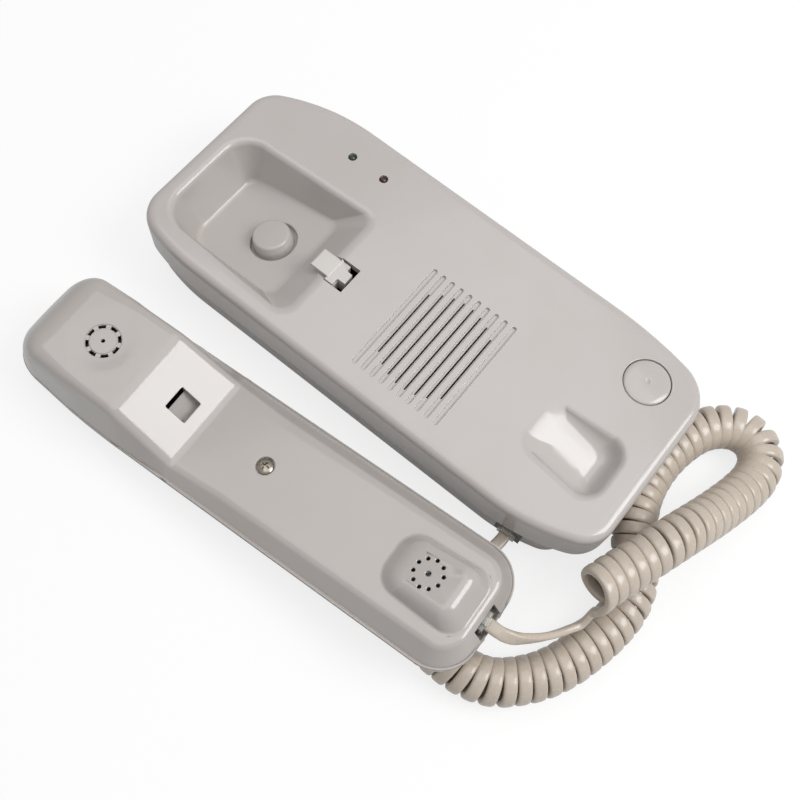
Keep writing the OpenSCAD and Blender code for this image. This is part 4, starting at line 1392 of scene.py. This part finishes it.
        # towards the earpiece end the edge is rounder and the wall is fuller
        end = np.clip((edge[:, 1] - 62.0) / 26.0, 0, 1)
        end = (end**2 * (3 - 2 * end))[:, None]
        inner = self.on_face(inner + (face(6.2) - inner) * end)
        way = unit(np.append(foot[:, :2] - edge[:, :2], np.zeros((len(foot), 1)), 1))
        jamb = foot + (edge - foot) * self.jamb_share + way * (self.bulge * end)
        rings = [self.lip(seam, self.seam + 0.1), foot, jamb, edge, inner]
        rows = turned_profile(rings, (0.25, 7.0 * end[:, 0], 3.2 + 2.8 * end[:, 0]), 8)
        # the opening over the jack reaches from the seam to the jamb
        reach = int(np.argmin(np.abs(rows[:, 0, 2] - jamb[0, 2])))
        above_seam = rows[9]
        near = (np.abs(above_seam[:, 0]) < self.port_half) & (above_seam[:, 1] < -100)
        keep = np.ones((len(rows) - 1, rows.shape[1]), bool)
        keep[:reach, near & np.roll(near, -1)] = False
        skin.grid(rows, keep=keep)
        ends = rows[:reach + 1][:, near]
        ends = ends[:, np.argsort(ends[reach, :, 0])]
        reveal = np.concatenate([ends[:, 0], ends[reach, 1:-1], ends[::-1, -1]])
        skin.grid(np.array([reveal, reveal + (0, 4, 0)]), closed=False)
        return inner

    def front_shell(self) -> None:
        """Makes the front shell.

        Its face is the lower plane with the screw's bore and the mouthpiece, the slope with the window and the
        pad with the earpiece, with a strip over each crease between them.
        """
        skin = Skin()
        inner = self.side_wall(skin)
        bounds = [c + side * b for c, b in zip(self.creases, self.soft) for side in (-1, 1)]
        grip, slope, pad = (self.part_of_face(inner, low, high) for low, high in (
            (-200, bounds[0]), (bounds[1], bounds[2]), (bounds[3], 200)))
        for low, high in (bounds[:2], bounds[2:]):
            strip = self.part_of_face(inner, low, high)
            half = len(strip) // 2
            skin.grid(np.stack([self.on_face(strip[:half]), self.on_face(strip[half:][::-1])], 1), closed=False)
        bore = lambda r: ring((0, self.screw_y), r, 40)
        steps = ((4.3, 0), (3.55, 0), (3.55, 1.9), (1.6, 1.9))
        skin.wall([self.on_face(bore(r)) - (0, 0, down) for r, down in steps], (0.5, 0.2), 4)
        skin.plate([grip, bore(4.3), self.mouthpiece(skin)], self.on_face)
        window = lambda grow: four_corners(4.8, 4.8, -4.7, 4.7, 0.5, 0, 4, grow=grow)
        skin.wall(stack(window, ((0.45, 0), (0, 0), (0, -2.0)), self.on_slope), (0.25,), 3)
        hole = window(0.45) * (1, math.cos(self.slope(1))) + (0, self.window_y)
        skin.plate([slope, hole], self.on_face)
        skin.plate([pad, self.earpiece(skin)], self.on_face)
        piece = steady(thicken(skin.moved(self.lay).piece("handset_face", 30), self.wall))
        settle(piece, "handset", Finish.HANDSET, ["handset_front_shell"])

    def window_shelf(self) -> None:
        """Makes the shelf behind the window, open towards the earpiece where the hook goes in."""
        floor = np.array([(-5.4, -6.4), (2.6, -4.0), (2.6, -3.1), (-5.4, -5.5)])
        end = np.array([(-5.6, -6.4), (-4.75, -6.4), (-4.75, -1.7), (-5.6, -1.7)])
        cheek = np.array([(-5.4, -6.4), (2.6, -4.0), (5.4, -1.7), (-5.4, -1.7)])
        shelf = prism(floor, -5.4, 5.4)
        for profile, low, high in ((end, -5.4, 5.4), (cheek, -5.6, -4.85), (cheek, 4.85, 5.6)):
            shelf.join(prism(profile, low, high))
        shelf.moved(self.on_slope).moved(self.lay)
        settle(shelf.piece("window_shelf", 30, 0.0005), "handset", Finish.HANDSET)

    def back_shell(self) -> None:
        """Makes the back shell: a bowl whose wall curves in from the seam to a flat back.

        The wall is a quadratic Bezier: at t from 0 to 1 its height is s(1 - t)^2 + 7.4t(1 - t), where s is the
        seam's, and it is drawn in by 0.4t(1 - t) + 8.2t^2 at the sides and 2t(1 - t) + 31t^2 at the ends.
        """
        skin = Skin()
        seam, _ = self.loops()
        t = np.linspace(0, 1, 17)
        drawn_x, drawn_y = 0.4 * t * (1 - t) + 8.2 * t**2, 2.0 * t * (1 - t) + 31.0 * t**2
        drop = self.seam * (1 - t) ** 2 + 7.4 * t * (1 - t)
        rows = [self.lip(seam, self.seam - 0.15)]
        for dx, dy, z in zip(drawn_x, drawn_y, drop):
            scale = np.array([1 - dx / self.half_width, 1 - dy / self.half_length])
            rows.append(at_height(seam * scale, z - (0.12 if z == self.seam else 0)))
        rows.insert(2, rows[1] * (1, 1, 0) + (0, 0, 10.9))
        skin.wall(rows).fill(rows[-1])
        piece = steady(thicken(skin.moved(self.lay).piece("handset_back", 34), self.wall))
        settle(piece, "handset", Finish.HANDSET, ["handset_back_shell"])

    def screw(self) -> None:
        """Makes the cross-head screw: a shallow dome with a cross pressed into it, over a shank."""
        radius, arm_half, reach, depth = 3.0, 0.42, 1.75, 0.95
        r, a = np.meshgrid(np.linspace(0.02, radius, 22), np.radians(np.arange(96) * 3.75), indexing="ij")
        x, y = r * np.cos(a), r * np.sin(a)
        dome = 1.75 - 0.75 * (r / radius) ** 2.4
        off_arm = np.minimum(np.abs(x), np.abs(y))
        cross = np.clip((arm_half - off_arm) / 0.16, 0, 1) * np.clip((reach - r) / 0.3, 0, 1)
        top = np.stack([x, y, dome - depth * cross], -1)
        skin = Skin().grid(top).fill(top[0])
        side = stack(lambda q: ring((0, 0), q, 96), (
            (radius, 1.0), (radius, 0.15), (2.85, 0.0), (1.4, 0.0), (1.4, -9.4), (0.6, -10.0)))
        skin.wall(side).fill(side[-1])
        seat = place((0, self.screw_y, float(self.rise(self.screw_y)) - 1.85))
        piece = skin.moved(seat).moved(self.lay).piece("handset_cross_screw", 32)
        settle(piece, "handset", Finish.SCREW, ["handset_screw"])

    def build(self) -> None:
        """Makes the handset's shown pieces."""
        self.front_shell()
        self.window_shelf()
        self.back_shell()
        self.screw()


# ------------------------------------------------------------------ plugs and cord


@dataclass
class Plug:
    """A modular plug on its jack's axes: X out of the port, Y across, Z towards the latch."""

    name: str
    body: str
    lay: Move
    half_width: float = 3.8
    half_height: float = 3.3
    stands_out: float = 2.2

    def build(self) -> None:
        """Makes the plug: a body with a cord mouth, and the latch that stands off it."""
        w, h, e = self.half_width, self.half_height, self.stands_out
        skin = prism(np.array([
            (-10, -h), (e - 0.6, -h), (e, -h + 0.6), (e, h - 1.9), (e - 0.6, h - 1.4),
            (-1, h - 1.4), (-1, h), (-10, h),
        ]), -w, w, axis=1)
        latch = prism(np.array([
            (-1.4, h - 1.4), (0.2, h - 1.4), (3.0, h - 0.75), (3.0, h - 0.15), (0.4, h - 0.2), (-1.4, h - 0.4),
        ]), -1.6, 1.6, axis=1)
        tail = prism(np.array([
            (e - 1.0, -1.5), (e + 0.5, -1.5), (e + 0.5, 1.5), (e - 1.0, 1.5),
        ]), -2.5, 2.5, axis=1)
        skin.join(latch).join(tail)
        piece = bevelled(skin.moved(self.lay).piece(f"{self.name}_body", 30, 0.0005), 0.22, 2)
        settle(piece, self.body, Finish.PLUG, [self.name])


@dataclass
class CurlyCord:
    """The flat cord: a plain lead from the base, the coil, and a plain lead to the handset.

    The coil's axis and the leads follow listed points through a Catmull-Rom curve, and the cord winds
    round the axis at one turn for each cord width plus a gap, with longer turns in the bends.
    """

    width: float = 4.95
    thickness: float = 2.9
    outer: float = 17.5
    gap: float = 0.17
    bend_room: float = 0.04
    axis_z: float = 9.05
    straight: float = 4.8
    last_part: float = 0.8
    nudge: float = 0.004
    peel_turns: float = 0.4
    peel_length: float = 1.2
    per_turn: int = 26
    corners: int = 16
    section_power: float = 3.6
    axis_points: tuple[Triple, ...] = (
        (-96, -80, 0), (-96.2, -88, 0), (-96, -95, 0), (-94.6, -102, 0), (-91.5, -108.5, 0),
        (-86, -114.5, 0), (-79, -120, 0), (-70, -124.5, 0), (-60, -127.5, 0),
        (-50, -129.5, 0), (-40, -130, 0), (-31, -128, 0), (-24, -124, 0),
        (-17, -119, 0), (-9, -114, 0), (0, -110.5, 0), (9, -109, 0),
        (18, -109, 0), (27, -110.5, 0), (36, -113.5, 0), (43, -118.5, 0),
        (47.5, -125.5, 0), (47.5, -133.5, 0), (42.5, -139.5, 0),
        (34, -141.5, 0.5), (24, -140, 2.95), (13, -137, 6.95), (2, -133.5, 11.95),
        (-8, -130, 16.45), (-18, -126.5, 18.95), (-28, -123, 19.5), (-35.5, -120.3, 20.2),
        (-42, -118, 21), (-48, -116.2, 22.2),
    )
    base_lead: tuple[Triple, ...] = (
        (-46.5, -79, 9.9), (-49, -79, 9.9), (-53, -78.6, 9.8), (-57, -78.2, 8.8), (-61, -78, 6.8),
        (-65, -78.2, 4.6), (-69, -78.6, 2.9), (-74, -79.2, 2.1), (-80, -79.8, 1.9), (-86, -80.2, 1.8),
    )
    handset_lead: tuple[Triple, ...] = (
        (-58, -119.8, 20.4), (-62.8, -117.2, 21), (-67.4, -114.4, 22.8),
        (-71.8, -111.2, 25), (-75.8, -107.6, 27.6), (-79.2, -103.7, 29.8),
    )

    @staticmethod
    def smooth(points: Array, steps: int) -> Array:
        """A Catmull-Rom curve through the points.

        On each span it is half of 2b + (c - a)t + (2a - 5b + 4c - d)t^2 + (3b - a - 3c + d)t^3, where a, b, c
        and d are the four points about it.

        Args:
            points: the points.
            steps: steps on each span.

        Returns:
            The curve's points.
        """
        p = np.concatenate([points[:1], points, points[-1:]])
        t = (np.arange(steps) / steps)[None, :, None]
        a, b, c, d = (p[i:len(points) - 1 + i, None] for i in range(4))
        span = 0.5 * (2 * b + (c - a) * t + (2 * a - 5 * b + 4 * c - d) * t**2 + (3 * b - a - 3 * c + d) * t**3)
        return np.concatenate([span.reshape(-1, 3), points[-1:]])

    def wind(self) -> None:
        """Works out how far each short span of the axis turns the coil."""
        points = np.array(self.axis_points, float) + (0, 0, self.axis_z)
        self.fine = self.smooth(points, 12)
        n = len(self.fine)
        j = np.clip(np.arange(n - 1), 4, n - 6)
        a, b = self.fine[j] - self.fine[j - 4], self.fine[j + 5] - self.fine[j + 1]
        bend = np.linalg.norm(np.cross(unit(a), unit(b)), axis=1)
        bend /= np.maximum(np.linalg.norm(self.fine[j + 5] - self.fine[j - 4], axis=1) / 1.8, 0.1)
        room = np.minimum(bend * self.outer / 2 * self.bend_room, 0.4)
        total = np.concatenate([[0], np.cumsum(spans(self.fine) * (1 - room) / (self.width + self.gap))])
        self.turns = math.floor(total[-1] - self.last_part) + self.last_part
        self.turn_at = total * self.turns / total[-1]

    def frame_at(self, t: Array) -> tuple[Array, Array, Array, Array]:
        """Place, direction, side and up of the coil's axis after t turns.

        Args:
            t: turns from the start, one or more.

        Returns:
            The four, a row for each t.
        """
        n = len(self.fine)
        along = lambda at, known: np.stack([np.interp(at, known, self.fine[:, c]) for c in range(3)], 1)
        number = np.arange(n)
        index = np.interp(t, self.turn_at, number)
        d = unit(along(index + 2.5, number) - along(index - 2.5, number))
        s = unit(np.cross(d, (0, 0, 1)))
        return along(t, self.turn_at), d, s, np.cross(s, d)

    def curl(self, t: Array) -> tuple[Array, Array]:
        """Centre of the cord after t turns, and the way outwards there.

        Args:
            t: turns from the start, one or more.

        Returns:
            Both, a row for each t.
        """
        p, d, s, u = self.frame_at(t)
        a = np.radians(360 * t - 90)[:, None]
        out = np.cos(a) * s + np.sin(a) * u
        peel = np.maximum(t - self.turns + self.peel_turns, 0) / self.peel_turns
        radius = (self.outer - self.thickness) / 2
        return p + (self.peel_length * peel**2)[:, None] * d + radius * out, out

    def tube(self, name: str, path: Array, out: Array) -> bpy.types.Object:
        """A flat cord along a path: its section is a superellipse, its width along the binormal.

        Args:
            name: the piece's name.
            path: centre points.
            out: the flat side's normal at each.

        Returns:
            The piece, with a map in metres.
        """
        # the normal is turned round wherever it would flip against the one before it
        flips = np.sign((out[1:] * out[:-1]).sum(1) + 1e-12)
        out = out * np.cumprod(np.concatenate([[1], flips]))[:, None]
        forward = unit(np.gradient(path, axis=0))
        v = unit(out - (out * forward).sum(1, keepdims=True) * forward)
        u = np.cross(v, forward)
        a = np.radians(np.arange(self.corners) * 360 / self.corners + 180 / self.corners)
        power = 2 / self.section_power
        cx = np.sign(np.cos(a)) * np.abs(np.cos(a)) ** power * self.width / 2
        cy = np.sign(np.sin(a)) * np.abs(np.sin(a)) ** power * self.thickness / 2
        rows = path[:, None] + cx[None, :, None] * u[:, None] + cy[None, :, None] * v[:, None]
        n, m = rows.shape[:2]
        number = np.arange(n * m).reshape(n, m)
        around = np.concatenate([number, number[:, :1]], 1)
        quads = np.stack([around[:-1, :-1], around[:-1, 1:], around[1:, 1:], around[1:, :-1]], -1).reshape(-1, 4)
        ends = [number[0, ::-1].tolist(), number[-1].tolist()]
        piece = mesh_piece(name, rows.reshape(-1, 3), quads.tolist() + ends, 60)
        mesh = piece.data
        run = np.concatenate([[0], np.cumsum(spans(path))]) * MM
        corner = np.zeros(len(mesh.loops), np.int32)
        mesh.loops.foreach_get("vertex_index", corner)
        share = (corner % m) / m
        # the seam of the map: the last face of each row ends at one, and not at nought
        first = np.zeros(len(mesh.loops), bool)
        first[:len(quads) * 4] = (np.arange(len(quads) * 4) // 4 % m == m - 1) & (share[:len(quads) * 4] == 0)
        share = np.where(first, 1.0, share)
        layer = mesh.uv_layers.new(name="UVMap")
        layer.data.foreach_set("uv", np.column_stack([share, run[corner // m]]).astype(np.float32).ravel())
        return piece

    def lead(self, points: Array, first: Array, last: Array) -> tuple[Array, Array]:
        """A plain lead through the points; its flat side turns from one normal to the other, mostly at the end.

        Args:
            points: its points.
            first: the normal at its start.
            last: the normal at its end.

        Returns:
            The path and the normal at each of its points.
        """
        path = self.smooth(points, 6)
        share = np.linspace(0, 1, len(path))[:, None] ** 3
        return path, unit((1 - share) * first + share * last)

    def build(self, handset: Handset) -> None:
        """Makes the cord in two stretches, which meet under the coil at the far end of its loop.

        Args:
            handset: the handset that the far lead is plugged into.
        """
        self.wind()
        # a whole turn, because the cord is under the axis there
        split = round(float(self.turn_at[np.argmax(self.fine[:, 0])]))
        up = np.array([[0.0, 0, 1]])
        centre, out = self.curl(np.linspace(0, split, int(split * self.per_turn)))
        start_way = unit(self.curl(np.array([self.nudge]))[0] - centre[:1])
        entry = centre[0] - self.straight * start_way[0]
        lead, lead_out = self.lead(np.array([*self.base_lead, entry - 0.2 * start_way[0]]), up, -out[:1])
        straight = np.linspace(entry, centre[0], 5)[:-1]
        path = np.concatenate([lead, straight, centre])
        normal = np.concatenate([-lead_out, np.repeat(out[:1], len(straight), 0), out])
        lower = self.tube("curly_cord", path, normal)
        settle(lower, "base", Finish.CORD, ["cord_base_lead", "cord_coil"])
        length = float(spans(path).sum()) * MM

        centre2, out2 = self.curl(np.linspace(split, self.turns, int((self.turns - split) * self.per_turn)))
        way = unit(centre2[-1:] - self.curl(np.array([self.turns - self.nudge]))[0])
        leave = centre2[-1] + (self.straight + 0.4) * way[0]
        # in the plug, outside it, and over the first
        port = handset.lay(np.array([(0, -105.2, 0), (0, -110.5, 0), (0, -105.2, 1)]) + (0, 0, handset.port_z))
        normal_at_port = unit(port[2:3] - port[0:1])
        lead2, lead2_out = self.lead(
            np.array([leave, *self.handset_lead, port[1], port[0]]), out2[-1:], normal_at_port
        )
        straight2 = np.linspace(centre2[-1], leave, 5)[1:-1]
        path2 = np.concatenate([centre2, straight2, lead2])
        normal2 = np.concatenate([out2, np.repeat(out2[-1:], len(straight2), 0), lead2_out])
        upper = self.tube("curly_cord_far_run", path2, normal2)
        Finish.CORD.dress(upper)
        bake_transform(upper)
        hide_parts("cord_handset_lead", "cord_coil")
        length2 = float(spans(path2).sum()) * MM
        log.info("cord: %.1f turns, %.3f m and %.3f m", self.turns, length, length2)


# ------------------------------------------------------------------ carried-over nodes and stage


NODE_FINISHES: dict[str, Finish] = {
    "cover_screws": Finish.SCREW, "circuit_board": Finish.BOARD, "board_screws": Finish.SCREW,
    "board_parts": Finish.BLACK, "terminal_block": Finish.TERMINAL, "terminal_screws": Finish.SCREW,
    "speaker": Finish.SPEAKER, "speaker_gasket": Finish.FOAM, "speaker_clamps": Finish.SPRING,
    "speaker_screws": Finish.SCREW, "lamp_spacers": Finish.NYLON,
    "hook_switch": Finish.BLACK, "call_switch": Finish.BLACK,
    "base_jack": Finish.BLACK, "handset_jack": Finish.BLACK, "receiver_capsule": Finish.SPEAKER,
    "receiver_gasket": Finish.FOAM, "microphone_capsule": Finish.CAPSULE,
    "microphone_boot": Finish.RUBBER, "handset_weight": Finish.WEIGHT,
}


@dataclass
class Studio:
    """Floor, lamps and camera."""

    lens: float = 46.587
    eye: Triple = (-0.1571, -0.0889, 0.3893)
    right: Triple = (0.622622, -0.780415, 0.057393)
    up: Triple = (0.716550, 0.598070, 0.358983)
    room: float = 0.36
    in_gloss: float = 0.35
    lit_floor: float = 0.65

    def seen(self, g: Graph) -> Sock:
        """1 on what the camera sees, straight or through glass, and less on what it sees in gloss."""
        rays = [g.node("LightPath", out=f"Is {kind} Ray") for kind in ("Camera", "Glossy", "Transmission")]
        return (rays[0] + rays[1] * self.in_gloss + rays[2]).clamp()

    def floor(self) -> None:
        """Makes the pale floor."""
        mesh = bpy.data.meshes.new("floor")
        corners = [(x * 3, y * 3, -0.0003) for x, y in ((-1, -1), (1, -1), (1, 1), (-1, 1))]
        mesh.from_pydata(corners, [], [(0, 1, 2, 3)])
        piece = in_scene("floor", mesh)
        g = Graph("floor_paper")
        paper = g.node("BsdfDiffuse", Color=(0.62, 0.62, 0.62))
        glow = g.node("Emission", Color=(1.0, 1.0, 1.0), Strength=1.2)
        blend = g.node("MixShader", in_0=self.seen(g) * self.lit_floor, in_1=paper, in_2=glow)
        piece.data.materials.append(g.show(blend))

    def lamp(self, name: str, spot: Sequence[float], aim: Sequence[float], size: float, power: float) -> None:
        """Makes a square soft lamp that faces aim.

        Args:
            name: its name.
            spot: its place.
            aim: the point it faces.
            size: its side.
            power: its power in watts.
        """
        data = bpy.data.lights.new(name, "AREA")
        data.size = size
        data.energy = power
        turn = (Vector(spot) - Vector(aim)).to_track_quat("Z", "Y").to_matrix().to_4x4()
        in_scene(name, data).matrix_world = Matrix.Translation(spot) @ turn

    def world(self) -> None:
        """Sets the even light from all round: white behind the floor, and between that and the room in gloss."""
        world = bpy.context.scene.world = bpy.data.worlds.new("studio")
        g = Graph("studio", world)
        back = g.tree.nodes["Background"]
        back.inputs["Color"].default_value = (1.0, 1.0, 1.0, 1.0)
        plug_in(g.tree, back.inputs["Strength"], self.seen(g) * (1.0 - self.room) + self.room)

    def camera(self) -> None:
        """Makes the camera from its eye and two of its axes."""
        right = unit(np.array(self.right))
        up = np.array(self.up)
        up = unit(up - (up @ right) * right)
        turn = np.eye(4)
        turn[:3, 0], turn[:3, 1], turn[:3, 2], turn[:3, 3] = right, up, np.cross(right, up), self.eye
        data = bpy.data.cameras.new("camera")
        data.lens, data.sensor_width = self.lens, 36.0
        data.clip_start = 0.01
        piece = bpy.context.scene.camera = in_scene("camera", data)
        piece.matrix_world = Matrix(turn.tolist())

    def build(self) -> None:
        """Makes the whole stage."""
        self.floor()
        self.lamp("overhead", (0.05, 0.1, 1.3), (-0.02, 0.0, 0.0), 1.2, 6.2)
        self.lamp("softbox", (0.25, -0.60, 0.80), (-0.02, 0.0, 0.0), 0.5, 5.2)
        self.world()
        self.camera()
        bpy.context.scene.view_settings.view_transform = "Standard"


def main() -> None:
    """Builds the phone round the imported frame."""
    logging.basicConfig(level=logging.INFO, format="%(message)s")
    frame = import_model()
    Studio().build()
    handset = Handset()
    Plug("base_plug", "base", lambda p: p * (-1, -1, 1) + BASE_PORT).build()
    to_port = lambda p: handset.lay(np.stack([p[:, 1], -p[:, 0] - 102.5, p[:, 2] + handset.port_z], 1))
    Plug("handset_plug", "handset", to_port).build()
    CurlyCord().build(handset)
    Base().build()
    handset.build()
    for name, finish in NODE_FINISHES.items():
        finish.dress(frame["nodes"][name])


if __name__ == "__main__":
    main()
